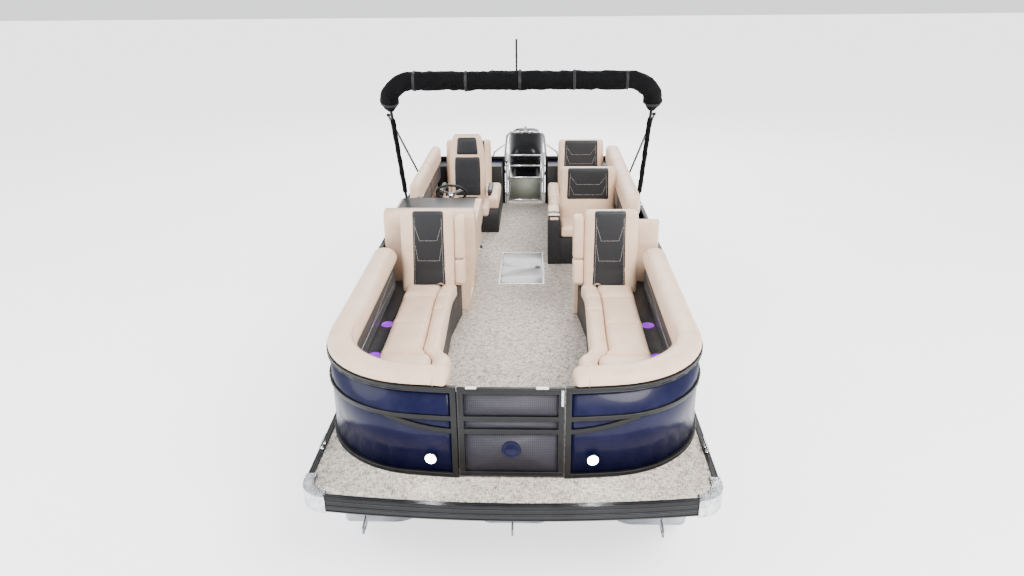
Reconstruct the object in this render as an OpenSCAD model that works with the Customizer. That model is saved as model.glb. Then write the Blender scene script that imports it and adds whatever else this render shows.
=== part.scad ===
// Pontoon boat with three tubes, a fenced deck, lounge seats, a side console,
// a folded sun canopy and one outboard motor tilted clear of the ground.
// X points to port, Y aft and Z up. The origin is on the middle tube's keel strip,
// where the boat rests. Inside the modules Y counts aft from the bow line, where
// the deck's sides end at its front corners, and Z counts up from the deck's top.

/* [Hull] */
// Outer diameter of each tube
tube_d = 635; // [560:5:770]
// Distance from the centreline to the middle of each outer tube
tube_x = 970; // [900:5:1170]
// Wall thickness of the tubes
tube_wall = 4; // [3:0.5:6]
// Distance from the bow line to the tubes' tips
nose_y = 130; // [60:10:300]
// Length over which a tube narrows to its tip
nose_l = 850; // [700:10:1100]
// Height of the risers between the tubes and the cross members
riser_h = 45; // [30:1:60]
// Width of the flat keel strip under each tube
keel_w = 40; // [25:1:60]

/* [Deck] */
// Width over the deck's edge trim
beam = 2580; // [2400:10:3100]
// Distance from the bow line to the deck's aft edge
deck_l = 7150; // [7000:10:8600]
// How far the middle of the curved front edge reaches past the bow line
bow_reach = 220; // [150:5:300]
// Thickness of the deck board with its covering
deck_t = 22; // [18:1:32]
// Height of the cross members
beam_h = 90; // [70:1:110]
// Height of the edge trim
trim_h = 100; // [80:1:120]
// Thickness of the edge trim
trim_t = 24; // [16:1:32]
// Half width of the cut-out in front of the motor
well_x = 400; // [380:5:450]
// Length of the cut-out in front of the motor
well_l = 412; // [400:2:440]

/* [Fence] */
// Height of the fence's top above the deck
fence_h = 640; // [600:5:770]
// Thickness of the fence's tubes
rail = 35; // [25:1:42]
// Distance from the deck's side to the fence's outer face
fence_set = 28; // [20:1:60]
// Radius of the fence's two bow corners
fence_r = 700; // [560:10:760]
// Half width of the bow gate's opening
gate_x = 331; // [300:1:397]
// Length of the port side gate's opening
side_gate_l = 720; // [600:10:860]
// Gap around each gate
gate_gap = 6; // [5:0.5:10]

/* [Seats] */
// Length of the bow lounges from the bow line
lounge_l = 2620; // [2500:10:3100]
// Height of the seats
seat_h = 400; // [360:5:480]
// Thickness of the seat cushions
cushion_t = 110; // [90:5:130]
// Wall thickness of the moulded seat bases and the console
base_wall = 6; // [4:0.5:8]
// Height of the bow bolsters' top
bolster_top = 720; // [700:5:860]
// Width of the bow bolsters
bolster_w = 200; // [170:5:220]
// Radius of a cup holder
cup_r = 42; // [36:1:50]

/* [Helm] */
// Radius of the steering wheel's rim
wheel_r = 165; // [140:5:198]
// Height of the helm chair's back
chair_h = 1250; // [1050:10:1500]

/* [Canopy] */
// Radius of the canopy's tubes
bow_r = 14; // [11:0.5:16]
// Length of the canopy's main bow from its hinge to its crossing
bow_l = 1533; // [1300:10:1840]
// Forward lean of the main bow
bow_lean = 28.7; // [20:0.5:32]
// Radius of the cover around the folded canopy
boot_r = 105; // [80:1:112]

/* [Motor] */
// Angle by which the motor is tilted up at rest
rest_tilt = 36; // [34:0.5:40]
// Distance from the tilt hinge down to the propeller's axis
shaft_l = 885; // [850:5:900]
// Radius of the propeller
prop_r = 185; // [150:5:190]

/* [Hidden] */
$fn = 48;

gap = 0.3;              // seated pieces lie this far apart
keel_t = 8;             // keel strip
hull_h = keel_t + tube_d + riser_h + beam_h + deck_t;   // deck top above the ground
origin_y = 3600;
tube_z = -hull_h + keel_t + tube_d / 2;
tube_end = deck_l - 430;
half = beam / 2;
fence_x = half - fence_set;
fence_aft = deck_l - 910;
front_r = 9000;         // the deck's front edge
deck_corner_r = 170;
fence_front_r = 5170;   // the fence between its corners
fence_front = 57;
stern_r = 150;
gate_y = 70;            // outer face of the bow gate
gate_t = 28;
hinge_r = 6;
hinge_play = 0.08;      // running clearance of a pin in its bore

// Points of an arc
function arc(cx, cy, r, a0, a1, n) =
    [for (i = [0 : n]) let (a = a0 + (a1 - a0) * i / n) [cx + r * cos(a), cy + r * sin(a)]];

// Front outline of a shape with a slightly curved front and two round corners, drawn
// from port to starboard or the other way and set in by d all along
function front(hw, r, big, y, d) =
    let (cx = hw - r, cy = y + big - sqrt(pow(big - r, 2) - cx * cx), a = asin(cx / (big - r)))
    concat(arc(-cx, cy, r - d, 180, 270 - a, 8),
           arc(0, y + big, big - d, 270 - a + 1, 270 + a - 1, 14),
           arc(cx, cy, r - d, 270 + a, 360, 8));

module at_bow() translate([0, -origin_y, hull_h]) children();

module both() { children(); mirror([1, 0, 0]) children(); }

module slab(z0, z1) translate([0, 0, z0]) linear_extrude(z1 - z0) children();

// A solid with a profile in Y and Z, from x0 to x1
module side_profile(x0, x1) translate([x1, 0, 0]) rotate([90, 0, -90]) mirror([1, 0, 0])
    linear_extrude(x1 - x0) children();

module box(a, b) translate(a) cube(b - a);

// Turns Z to the direction v
module along(v) rotate([0, acos(v[2] / norm(v)), atan2(v[1], v[0])]) children();

// A round bar between two points
module bar(a, b, r) translate(a) along(b - a) cylinder(r = r, h = norm(b - a));

// Round bars through a list of points, with round elbows a little fuller than the bars
module pipe(points, r) {
    for (i = [1 : len(points) - 1]) bar(points[i - 1], points[i], r);
    for (i = [1 : 1 : len(points) - 2])
        translate(points[i]) along(points[i] - points[i - 1]) sphere(r = r + 0.6);
}

// ---------- hull ----------

// A tube with a boat-shaped nose, its axis along Y
module tube_body(r, tip, end) {
    plan_r = (nose_l * nose_l + r * r) / (2 * r);
    rise = 1.45 * r;
    sweep_r = (nose_l * nose_l + rise * rise) / (2 * rise);
    blend_y = tip + nose_l;
    intersection() {
        translate([0, tip, 0]) rotate([-90, 0, 0]) cylinder(r = r, h = end - tip, $fn = 64);
        union() {
            intersection() {
                translate([r + 3 - plan_r, blend_y, -2 * r]) cylinder(r = plan_r, h = 4 * r, $fn = 96);
                translate([plan_r - r - 3, blend_y, -2 * r]) cylinder(r = plan_r, h = 4 * r, $fn = 96);
            }
            box([-2 * r, blend_y - 30, -2 * r], [2 * r, end + 1, 2 * r]);
        }
        union() {
            translate([-2 * r, blend_y, sweep_r - r - 3]) rotate([0, 90, 0])
                cylinder(r = sweep_r, h = 4 * r, $fn = 96);
            box([-2 * r, blend_y - 30, -2 * r], [2 * r, end + 1, 2 * r]);
        }
    }
}

// A hollow tube with its keel strip, lifting strakes and bow eye
module tube(x) {
    r = tube_d / 2;
    strake_y = nose_y + nose_l + 150;
    at_bow() translate([x, 0, tube_z]) difference() {
        union() {
            tube_body(r, nose_y, tube_end);
            box([-keel_w / 2, nose_y + nose_l, -r - keel_t], [keel_w / 2, tube_end - 20, 3 - r]);
            for (s = [-1, 1]) translate([0, tube_end - 60, 0]) rotate([90, 0, 0])
                linear_extrude(tube_end - 60 - strake_y)
                polygon([[s * r * 0.76, -r * 0.62], [s * r * 1.02, -r * 0.56], [s * r * 0.87, -r * 0.46]]);
            // bow eye on the stem
            difference() {
                translate([-6, nose_y - 55, 20]) cube([12, 110, 60]);
                translate([-10, nose_y - 28, 50]) rotate([0, 90, 0]) cylinder(r = 12, h = 20);
            }
        }
        tube_body(r - tube_wall, nose_y + 4 * tube_wall, tube_end - tube_wall);
    }
}

module port_tube() color("#B9BDC1") tube(tube_x);
module centre_tube() color("#B9BDC1") tube(0);
module starboard_tube() color("#B9BDC1") tube(-tube_x);

// Risers along the tubes, with the cross members standing on them
module underframe() color("#A9ADB1") at_bow() {
    z_low = -deck_t - beam_h - riser_h;
    z_mid = -deck_t - beam_h;
    first = 70;
    pitch = 400;
    reach = half - trim_t - 2;
    hatch_y = [hatch_front - 45, hatch_front + hatch_l + 45];
    difference() {
        union() {
            for (x = [-tube_x, 0, tube_x]) {
                for (s = [-1, 1]) box([x + s * 105 - 3, nose_y + 330, z_low - 40],
                                      [x + s * 105 + 3, tube_end - 60, z_mid]);
                box([x - 140, nose_y + 330, z_mid - 6], [x + 140, tube_end - 60, z_mid]);
            }
            for (y = [first : pitch : deck_l - 60]) {
                split = y > deck_l - well_l - 60;
                if (split) both() box([well_x + trim_t + 4, y - 20, z_mid], [reach, y + 20, -deck_t - gap]);
                else box([-reach, y - 20, z_mid], [reach, y + 20, -deck_t - gap]);
            }
        }
        for (x = [-tube_x, 0, tube_x]) translate([x, 0, tube_z]) rotate([-90, 0, 0])
            cylinder(r = tube_d / 2 + gap, h = tube_end);
        box([-hatch_x - 20, hatch_y[0], z_low - 50], [hatch_x + 20, hatch_y[1], 0]);
    }
}

// ---------- deck ----------

// The deck's outline set in by d: curved front, round corners and the cut-out for the motor
function deck_outline(d) =
    concat(front(half, deck_corner_r, front_r, -bow_reach, d),
           arc(half - 110, deck_l - 110, 110 - d, 0, 90, 6),
           arc(well_x + 70, deck_l - 70, 70 - d, 90, 180, 5),
           [[well_x + d, deck_l - well_l - d], [-well_x - d, deck_l - well_l - d]],
           arc(-well_x - 70, deck_l - 70, 70 - d, 0, 90, 5),
           arc(-half + 110, deck_l - 110, 110 - d, 90, 180, 6));

module deck() color("#B5AEA6") at_bow() difference() {
    slab(-deck_t, 0) polygon(deck_outline(trim_t + gap));
    box([-hatch_x - gap, hatch_front - gap, -deck_t - 1], [hatch_x + gap, hatch_front + hatch_l + gap, 1]);
}

// Edge trim with a lip over the deck's edge, and a rub rail
module deck_trim() color("#17181B") at_bow() {
    difference() {
        slab(-trim_h, 5) polygon(deck_outline(0));
        slab(-trim_h - 1, 0) polygon(deck_outline(trim_t));
        slab(-1, 6) polygon(deck_outline(trim_t + 16));
        slab(0, 6) polygon(fence_plan(-gap));
    }
}

// Cast caps over the deck's bow corners
module corner_castings() color("#D5D7DA") at_bow() both() intersection() {
    difference() {
        slab(-trim_h - 8, 11) polygon(deck_outline(-7));
        slab(-trim_h - 9, 5 + gap) polygon(deck_outline(-gap));
        slab(4, 12) polygon(deck_outline(62));
    }
    translate([half - 165, -bow_reach, -trim_h - 20]) cube([200, bow_reach + 90, trim_h + 60]);
}

// Mooring cleats on the deck's edge
module cleats() color("#D5D7DA") at_bow() both() for (y = [400, deck_l - 330]) {
    x = half - 21;
    for (dy = [-30, 30]) translate([x, y + dy, 5 + gap]) cylinder(r = 8, h = 34);
    bar([x, y - 85, 5 + gap + 38], [x, y + 85, 5 + gap + 38], 9);
}

// ---------- fence ----------

// The fence's plan set in by d from its outer face
function fence_plan(d) =
    concat(front(fence_x, fence_r, fence_front_r, fence_front, d),
           arc(fence_x - stern_r, fence_aft - stern_r, stern_r - d, 0, 90, 6),
           arc(-fence_x + stern_r, fence_aft - stern_r, stern_r - d, 90, 180, 6));

module fence_ring(d0, d1) difference() {
    polygon(fence_plan(d0));
    polygon(fence_plan(d1));
}

side_gate_y = lounge_l + 80;                    // start of the side gate's opening
side_gate_end = side_gate_y + side_gate_l;
stern_post_x = 268;                             // inner end of the stern fence
big = 9999;

// Plan zones of the fence's four runs, s is 1 to port and -1 to starboard
module bow_zone(s, cut = 0) {
    end = side_gate_y - cut;
    scale([s, 1]) translate([gate_x + cut, -50]) square([big, end + 50]);
}

module aft_zone(s, cut = 0) {
    from = s > 0 ? side_gate_end : side_gate_y;
    scale([s, 1]) {
        translate([gate_x, from + cut]) square([big, fence_aft - from - cut + 50]);
        translate([stern_post_x + cut, fence_aft - 200]) square([big, 300]);
    }
}

// A piece of the fence between two heights and two depths, inside a plan zone
module run(z0, z1, d0, d1) slab(z0, z1) intersection() {
    fence_ring(d0, d1);
    children();
}

mid_z = fence_h * 0.645;        // upper middle rail
low_z = fence_h * 0.505;        // lower middle rail at the gate
rail_w = 32;

// The lower middle rail of one bow run rises into the upper one beside the lounge
module swoosh(s) intersection() {
    run(low_z - 10, mid_z, 0, rail / 2 - 4) bow_zone(s);
    side = s > 0 ? 1 : -1;
    rise_l = 450;
    low = [for (i = [0 : 8]) [gate_x + rise_l * i / 8, low_z + (mid_z - low_z - 6) * pow(i / 8, 2)]];
    high = [for (i = [8 : -1 : 0]) [gate_x + rise_l * i / 8,
            min(mid_z - gap, low_z + rail_w + (mid_z - low_z) * pow(i / 8, 2))]];
    translate([0, fence_x, 0]) rotate([90, 0, 0]) linear_extrude(2 * fence_x) scale([side, 1])
        polygon(concat(low, high));
}

skin = rail / 2 - 3.5;          // depth of the panels' outer face
skin_t = 3;

// Rails and end posts of one bow run
module bow_fence(s) at_bow() {
    run(0 + gap, rail, 0, rail) bow_zone(s);
    run(fence_h - rail, fence_h, 0, rail) bow_zone(s);
    run(mid_z, mid_z + rail_w, 0, skin - gap) bow_zone(s);
    swoosh(s);
    run(rail - 1, fence_h - rail + 1, 0, rail) difference() {
        bow_zone(s);
        scale([s, 1]) translate([gate_x + rail, -99]) square([big, side_gate_y - rail + 99]);
    }
    run(rail - 1, fence_h - rail + 1, skin + skin_t + gap, rail) scale([s, 1]) {
        translate([fence_x - 200, lounge_l * 0.36]) square([300, rail]);
        translate([fence_x - 200, lounge_l * 0.72]) square([300, rail]);
    }
    // hinge plates of the bow gate on the starboard side, of the side gate to port
    if (s < 0) bow_hinge(true);
    else side_hinge(true);
}

module port_bow_fence() color("#25262A") bow_fence(1);
module starboard_bow_fence() color("#25262A") bow_fence(-1);

// Rails and posts of one aft run, round the stern corner to the stern gate
module aft_fence(s) at_bow() {
    from = s > 0 ? side_gate_end : side_gate_y;
    run(0 + gap, rail, 0, rail) aft_zone(s, s > 0 ? 0 : gap);
    run(fence_h - rail, fence_h, 0, rail) aft_zone(s, s > 0 ? 0 : gap);
    run(mid_z, mid_z + rail_w, 0, skin - gap) aft_zone(s, s > 0 ? 0 : gap);
    run(rail - 1, fence_h - rail + 1, 0, rail) scale([s, 1]) {
        translate([fence_x - 200, from + gap]) square([300, rail]);
        translate([stern_post_x, fence_aft - 100]) square([rail, 200]);
    }
    run(rail - 1, fence_h - rail + 1, skin + skin_t + gap, rail)
        for (t = [0.35, 0.68]) scale([s, 1])
            translate([fence_x - 200, from + (fence_aft - from) * t]) square([300, rail]);
}

module port_aft_fence() color("#25262A") aft_fence(1);
module starboard_aft_fence() color("#25262A") aft_fence(-1);

// Sheet panels between the fence's rails
module bow_panels() color("#1B1F4B") at_bow() for (s = [-1, 1])
    run(rail + gap, fence_h - rail - gap, skin, skin + skin_t) bow_zone(s, rail + gap);

module aft_panels() color("#1B1F4B") at_bow() for (s = [-1, 1])
    run(rail + gap, fence_h - rail - gap, skin, skin + skin_t) aft_zone(s, rail + gap);

// Docking lights on the lower bow panels, square to the curved front
module docking_lights() color("#F4F6FA") at_bow() both() {
    turn = asin(505 / fence_front_r);
    translate([0, fence_front + fence_front_r, 125]) rotate([0, 0, turn])
        translate([0, skin - gap - fence_front_r, 0]) rotate([90, 0, 0]) cylinder(r = 36, h = 13);
}

// ---------- hinges ----------

// A piano hinge of radius r along Z. The fixed side is towards -X and holds two knuckles
// and the pin, the moving side has the three knuckles between them. The plates start at
// the depth y = back, behind the axis.
module hinge(h, r, fixed, back, reach) {
    n = 5;
    part_h = h / n;
    pin_r = r / 2;
    for (i = [0 : n - 1]) if ((i % 2 == 1) == fixed) {
        z0 = i * part_h + (fixed ? 0 : 0.6);
        z1 = (i + 1) * part_h - (fixed ? 0 : 0.6);
        difference() {
            union() {
                translate([0, 0, z0]) cylinder(r = r, h = z1 - z0);
                if (fixed) box([-reach, back, z0], [0, 2 - r, z1]);
                else box([0, back, z0], [reach, 2 - r, z1]);
            }
            if (!fixed) translate([0, 0, z0 - 1]) cylinder(r = pin_r + hinge_play, h = z1 - z0 + 2);
        }
    }
    if (fixed) translate([0, 0, part_h * 0.1]) cylinder(r = pin_r, h = h - part_h * 0.2);
}

bow_hinge_x = -gate_x + gate_gap / 2;
bow_hinge_y = gate_y + rail + hinge_r + 1;
gate_hinge_h = fence_h - 2 * rail - 30;
post_back = -hinge_r - 6;                                 // plates let into the post
leaf_back = gate_t - rail - hinge_r - 2;                  // plates let into the gate

// Hinge along the bow gate's starboard edge
module bow_hinge(fixed) translate([bow_hinge_x, bow_hinge_y, rail + 15])
    hinge(gate_hinge_h, hinge_r, fixed, fixed ? post_back : leaf_back, 22);

side_hinge_x = fence_x - rail - hinge_r - 1;

// Hinge along the side gate's forward edge
module side_hinge(fixed) translate([side_hinge_x, side_gate_y + gate_gap / 2, rail + 15])
    rotate([0, 0, 90]) hinge(gate_hinge_h, hinge_r, fixed, fixed ? post_back : leaf_back, 22);

// ---------- gates ----------

// A flat gate frame in X and Z, w wide, with its rails and its outer face at y = 0
module gate_frame(w, t) difference() {
    box([0, 0, 12], [w, t, fence_h - 5]);
    box([rail + 3, -1, 12 + rail], [w - rail - 3, t + 1, low_z]);
    box([rail + 3, -1, low_z + rail_w], [w - rail - 3, t + 1, mid_z]);
    box([rail + 3, -1, mid_z + rail_w], [w - rail - 3, t + 1, fence_h - 5 - rail]);
}

// The sheets that fill a gate frame
module gate_sheets(w, t) {
    for (z = [[12 + rail, low_z], [low_z + rail_w, mid_z], [mid_z + rail_w, fence_h - 5 - rail]])
        box([rail + 3 + gap, t / 2 - 2, z[0] + gap], [w - rail - 3 - gap, t / 2 + 2, z[1] - gap]);
}

gate_w = 2 * (gate_x - gate_gap);
side_w = side_gate_l - 2 * gate_gap;

module bow_gate_frame() color("#25262A") at_bow() {
    translate([gate_gap - gate_x, gate_y, 0]) gate_frame(gate_w, gate_t);
    bow_hinge(false);
}

// Mesh sheets, with the round plate in the middle of the lower one
module bow_gate_mesh() color("#6E6C78") at_bow() {
    translate([gate_gap - gate_x, gate_y, 0]) gate_sheets(gate_w, gate_t);
    translate([0, gate_y + gate_t / 2, low_z * 0.64]) rotate([90, 0, 0]) cylinder(r = 62, h = 6);
}

module at_side_gate() translate([fence_x, side_gate_y + gate_gap, 0]) rotate([0, 0, 90]) children();

module side_gate_frame() color("#25262A") at_bow() {
    at_side_gate() gate_frame(side_w, gate_t);
    side_hinge(false);
}

module side_gate_panel() color("#1B1F4B") at_bow() at_side_gate() gate_sheets(side_w, gate_t);

stern_tube_r = 13;
stern_post = [stern_post_x - 10 - stern_tube_r, fence_aft - rail / 2];
stern_z = [30, 170, 350, 665];
stern_gate_in = stern_post[0] - 2 * stern_tube_r - 6;

// Tube frame of the stern gate, hung by two sleeves on the starboard gate post
module stern_gate_frame() color("#C9CCD0") at_bow() translate([0, stern_post[1], 0]) {
    a = stern_gate_in;
    for (s = [-1, 1]) bar([s * a, 0, stern_z[0]], [s * a, 0, stern_z[3]], stern_tube_r);
    for (z = [stern_z[0] + 13, stern_z[2], stern_z[3] - 13]) bar([-a, 0, z], [a, 0, z], 11);
    for (z = [110, 560]) difference() {
        union() {
            translate([-stern_post[0], 0, z]) cylinder(r = stern_tube_r + 5, h = 40);
            box([-stern_post[0], -5, z], [-a, 5, z + 40]);
        }
        translate([-stern_post[0], 0, z - 1]) cylinder(r = stern_tube_r + hinge_play, h = 42);
    }
}

module stern_gate_mesh() color("#8C9088") at_bow() translate([0, stern_post[1], 0])
    box([-stern_gate_in + stern_tube_r + gap, -2, stern_z[0] + 24 + gap],
        [stern_gate_in - stern_tube_r - gap, 2, stern_z[2] - 11 - gap]);

// ---------- bow lounges ----------

aisle = half - 760;             // the lounges' edge along the aisle
seat_out = fence_x - 287;       // outer edge of the seat cushions, beside the cup holders
shelf_z = seat_h - 70;
base_z = seat_h - cushion_t;
lid_y = [1010, lounge_l - 575];
back_y = lounge_l - 320;        // front of the backrests at the seat
cushion_gap = 6;

// Plan of a bow lounge inside the fence, port side, its aisle edge moved out by e
module lounge_plan(e, d) intersection() {
    polygon(fence_plan(d));
    polygon([[big, 0], [aisle - 90 + e, 0], [aisle - 80 + e, 900], [aisle + 10 + e, 1100],
             [aisle + 30 + e, lounge_l - 550], [aisle - 30 + e, lounge_l], [big, lounge_l]]);
}

module y_zone(y0, y1) translate([0, y0]) square([big, y1 - y0]);
module x_zone(x0, x1) translate([x0, 0]) square([x1 - x0, big]);

cup_y = [1080, 1620];           // cup holders along the shelf
cup_x = (seat_out + fence_x - 175) / 2;

// Moulded base: a shelf with cup holders along the fence, and an open locker under the lid
module bow_base(s) scale_side(s) at_bow() {
    w = base_wall;
    difference() {
        union() {
            slab(gap, base_z - gap) intersection() {
                lounge_plan(20, rail + gap);
                y_zone(0, lounge_l - 62);
            }
            slab(gap, shelf_z) intersection() {
                lounge_plan(20, rail + gap);
                x_zone(seat_out + 5, big);
                y_zone(0, lounge_l - 62);
            }
        }
        // closed hollows along the fence, behind and in front of the locker
        difference() {
            slab(w, shelf_z - w) intersection() {
                lounge_plan(20, rail + gap + w);
                x_zone(seat_out + 5 + w, big);
                y_zone(0, lounge_l - 62 - w);
            }
            for (y = cup_y) translate([cup_x, y, shelf_z - 90]) cylinder(r = cup_r + 4, h = 100);
        }
        slab(w, base_z - gap - w) intersection() {
            lounge_plan(20 + w, rail + gap + w);
            x_zone(0, seat_out + 5 - w);
            union() {
                y_zone(rail, lid_y[0]);
                y_zone(lid_y[1] + 20, lounge_l - 62 - w);
            }
        }
        slab(w, base_z + 1) intersection() {
            lounge_plan(20 + w, rail);
            x_zone(0, seat_out - 20);
            y_zone(lid_y[0] + 20, lid_y[1] - 20);
        }
        for (y = cup_y) translate([cup_x, y, shelf_z - 80]) cylinder(r = cup_r, h = 100);
    }
}

module scale_side(s) {
    if (s > 0) children();
    else mirror([1, 0, 0]) children();
}

module port_bow_base() color("#4A4C50") bow_base(1);
module starboard_bow_base() color("#4A4C50") bow_base(-1);

module cushion(y0, y1) slab(base_z, seat_h) intersection() {
    lounge_plan(0, rail + 250);
    x_zone(0, seat_out);
    y_zone(y0, y1);
}

// The fixed cushions before and behind each lid
module bow_cushions() color("#D9C7B4") at_bow() both() {
    cushion(0, lid_y[0] - cushion_gap);
    cushion(lid_y[1] + cushion_gap, back_y - gap);
}

module port_seat_lid() color("#D9C7B4") at_bow() cushion(lid_y[0], lid_y[1]);
module starboard_seat_lid() color("#D9C7B4") mirror([1, 0, 0]) at_bow() cushion(lid_y[0], lid_y[1]);

back_top = seat_h + 640;

// Profile of a leaning backrest in Y and Z
module lean(y, z0, z1, t, run_back)
    polygon([[y, z0], [y + run_back, z1], [y + run_back + t * 0.7, z1], [y + t, z0]]);

// Backrests with the two folding arm pads beside each
module bow_backrests() color("#D9C7B4") at_bow() both() {
    difference() {
        side_profile(aisle + 34, seat_out + 50) lean(back_y, base_z, back_top, 150, 110);
        box([seat_out + 5 - gap, 0, 0], [half, lounge_l, shelf_z + gap]);
    }
    side_profile(aisle - 66, aisle + 34 - gap) lean(back_y + 25, seat_h - 20, back_top - 60, 120, 95);
}

// Padded bolsters that roll over the fence's top
module bow_bolster(s) at_bow() {
    run(shelf_z + 240, bolster_top, rail + gap, bolster_w) intersection() {
        bow_zone(s, 60);
        scale([s, 1]) y_zone_both(lounge_l - 240);
    }
    run(fence_h + gap, bolster_top, 2, rail + 1) intersection() {
        bow_zone(s, 60);
        scale([s, 1]) y_zone_both(lounge_l - 240);
    }
}

module y_zone_both(y1) translate([0, -99]) square([big, y1 + 99]);

module port_bow_bolster() color("#D9C7B4") bow_bolster(1);
module starboard_bow_bolster() color("#D9C7B4") bow_bolster(-1);

// Charcoal liners under the bolsters
module bow_liner(s) at_bow() run(shelf_z + gap, shelf_z + 240 - gap, 130, 172) intersection() {
    bow_zone(s, 80);
    scale([s, 1]) y_zone_both(lounge_l - 250);
}

module port_bow_liner() color("#4A4C50") bow_liner(1);
module starboard_bow_liner() color("#4A4C50") bow_liner(-1);

// End panel behind the port bow lounge
module lounge_end() color("#D9C7B4") at_bow() difference() {
    box([aisle - 40, lounge_l - 60, gap], [fence_x - rail - gap, lounge_l, 900]);
    box([aisle - 30, lounge_l - 54, 10], [fence_x - rail - 10, lounge_l - 6, 890]);
}

// ---------- helm ----------

wheel_c = [-730, lounge_l + 1210, 800];
wheel_tilt = 45;                // the column's rise above level
dash_off = 150;                 // wheel's centre to the dash
console_y = lounge_l + 30;
console_x = [-fence_x + rail + 12, -aisle + 130];
console_h = 945;
shelf_h = 800;                  // flat behind the console's front ridge
ridge_t = 150;

// The console's side outline, in Y and Z, set in by d
module console_side(d) {
    dy = dash_off * cos(wheel_tilt);
    p = [wheel_c[1] - dy, wheel_c[2] - dy];
    top_y = p[0] - (shelf_h - p[1]) * tan(wheel_tilt);
    foot = console_y + 770;
    polygon([[console_y + d, gap + d], [console_y + d, console_h - 40],
             [console_y + 40 + d * 0.4, console_h - d], [console_y + ridge_t - d, console_h - d],
             [console_y + ridge_t + 50 - d, shelf_h - d], [top_y - d * 0.4, shelf_h - d],
             [p[0] + 70 - d * 1.4, p[1] - 70], [p[0] + 40 - d, p[1] - 104 + d],
             [foot - d, console_h * 0.59 + d], [foot - d, gap + d]]);
}

// The console's front outline, in X and Z, with its wall bulging over the aisle
module console_front(d) polygon([
    [console_x[0] + d, gap + d], [console_x[1] - 60 - d, gap + d], [console_x[1] - 60 - d, 200],
    [console_x[1] - d, 430], [console_x[1] - d, console_h - 30], [console_x[1] - 25 - d * 0.4, console_h - d],
    [console_x[0] + d, console_h - d]]);

module console_body(d) intersection() {
    side_profile(console_x[0], console_x[1]) console_side(d);
    translate([0, console_y + 1300, 0]) rotate([90, 0, 0]) linear_extrude(1400) console_front(d);
}

pocket_y = [console_y + 110, console_y + 400];
pocket_z = [70, 300];

// Hollow console with a storage pocket in its aisle wall
module console() color("#D9C7B4") at_bow() difference() {
    console_body(0);
    difference() {
        console_body(base_wall);
        box([console_x[1] - 190, pocket_y[0] - base_wall, pocket_z[0] - base_wall],
            [console_x[1], pocket_y[1] + base_wall, pocket_z[1] + base_wall]);
    }
    box([console_x[1] - 184, pocket_y[0], pocket_z[0]], [console_x[1] + 50, pocket_y[1], pocket_z[1]]);
}

// Local frame of the column: Z runs up it, from the dash's face
module at_column(x) translate([x, wheel_c[1], wheel_c[2]]) rotate([wheel_tilt - 90, 0, 0])
    translate([0, 0, -dash_off]) children();

column_l = dash_off - 30;

// Dash panel on the console's face with the steering column, and the hood before it
module dash() color("#17181B") at_bow() {
    at_column(wheel_c[0]) {
        box([-250, -140, gap], [260, 85, 9]);
        cylinder(r = 40, h = 30);
        cylinder(r = 24, h = column_l);
        cylinder(r = 10, h = column_l + 34);
    }
    box([console_x[0] + 30, console_y + ridge_t + 70, shelf_h + gap],
        [console_x[1] - 60, wheel_c[1] - 240, shelf_h + 14]);
}

// Wheel rim with three spokes and a hub that turns on the column's shaft
module steering_wheel() color("#202124") at_bow() at_column(wheel_c[0]) translate([0, 0, column_l + 1]) {
    z = 16;
    difference() {
        union() {
            cylinder(r = 36, h = 26);
            for (a = [90, 210, 330]) rotate([0, 0, a]) box([20, -13, z - 4], [wheel_r, 13, z + 4]);
        }
        translate([0, 0, -1]) cylinder(r = 10 + hinge_play, h = 40);
    }
    translate([0, 0, z]) rotate_extrude() translate([wheel_r, 0]) circle(r = 15, $fn = 24);
}

// Throttle beside the wheel
module throttle() color("#3A3B3F") at_bow() at_column(wheel_c[0] - 330) {
    translate([0, 0, gap]) cylinder(r = 42, h = 40);
    bar([0, 10, 30], [0, 70, 150], 9);
    bar([-35, 70, 150], [35, 70, 150], 13);
}

chair = [-620, lounge_l + 1760];
post_r = 58;

// Pedestal of the helm chair, with the swivel's pin on top
module helm_pedestal() color("#8B8E92") at_bow() translate([chair[0], chair[1], 0]) {
    translate([0, 0, gap]) cylinder(r = 160, h = 12);
    cylinder(r = post_r, h = seat_h - 75);
    cylinder(r = 24, h = seat_h - 20);
}

// Seat cushion on its swivel plate
module helm_cushion() color("#D9C7B4") at_bow() translate([chair[0], chair[1], 0]) difference() {
    union() {
        box([-150, -150, seat_h - 74], [150, 150, seat_h + 30]);
        slab(seat_h + 30, seat_h + 150) chair_plan();
    }
    translate([0, 0, seat_h - 80]) cylinder(r = 24 + hinge_play, h = 80);
}

module chair_plan() {
    translate([-190, -240]) square([380, 400]);
    translate([-250, -180]) square([500, 340]);
    for (s = [-1, 1]) translate([s * 190, -180]) circle(r = 60);
}

// High back with an arm on each side
module helm_backrest() color("#D9C7B4") at_bow() translate([chair[0], chair[1], 0]) {
    side_profile(-210, 210) polygon([[160 + gap, seat_h + 40], [164, seat_h + 160], [215, chair_h - 40],
        [230, chair_h], [290, chair_h - 20], [300, seat_h + 400], [270, seat_h + 40]]);
    both() {
        box([232, -160, seat_h + 270], [292, 200, seat_h + 320]);
        box([205, 160, seat_h + 160], [275, 235, seat_h + 320]);
    }
}

// ---------- aft seats ----------

aft_l = 2370;                           // port aft seating, from its front to the fence
aft_y = fence_aft - aft_l;
star_y = fence_aft - 1290;              // front of the starboard aft lounge
inner_x = fence_x - rail - gap;
aft_aisle = half - 990;
ledge_y = fence_aft - 340;              // ledge behind the aft backrests
mid_back_y = aft_y + 415;
seat_side = fence_x - 272;              // outer edge of the aft seat cushions

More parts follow.
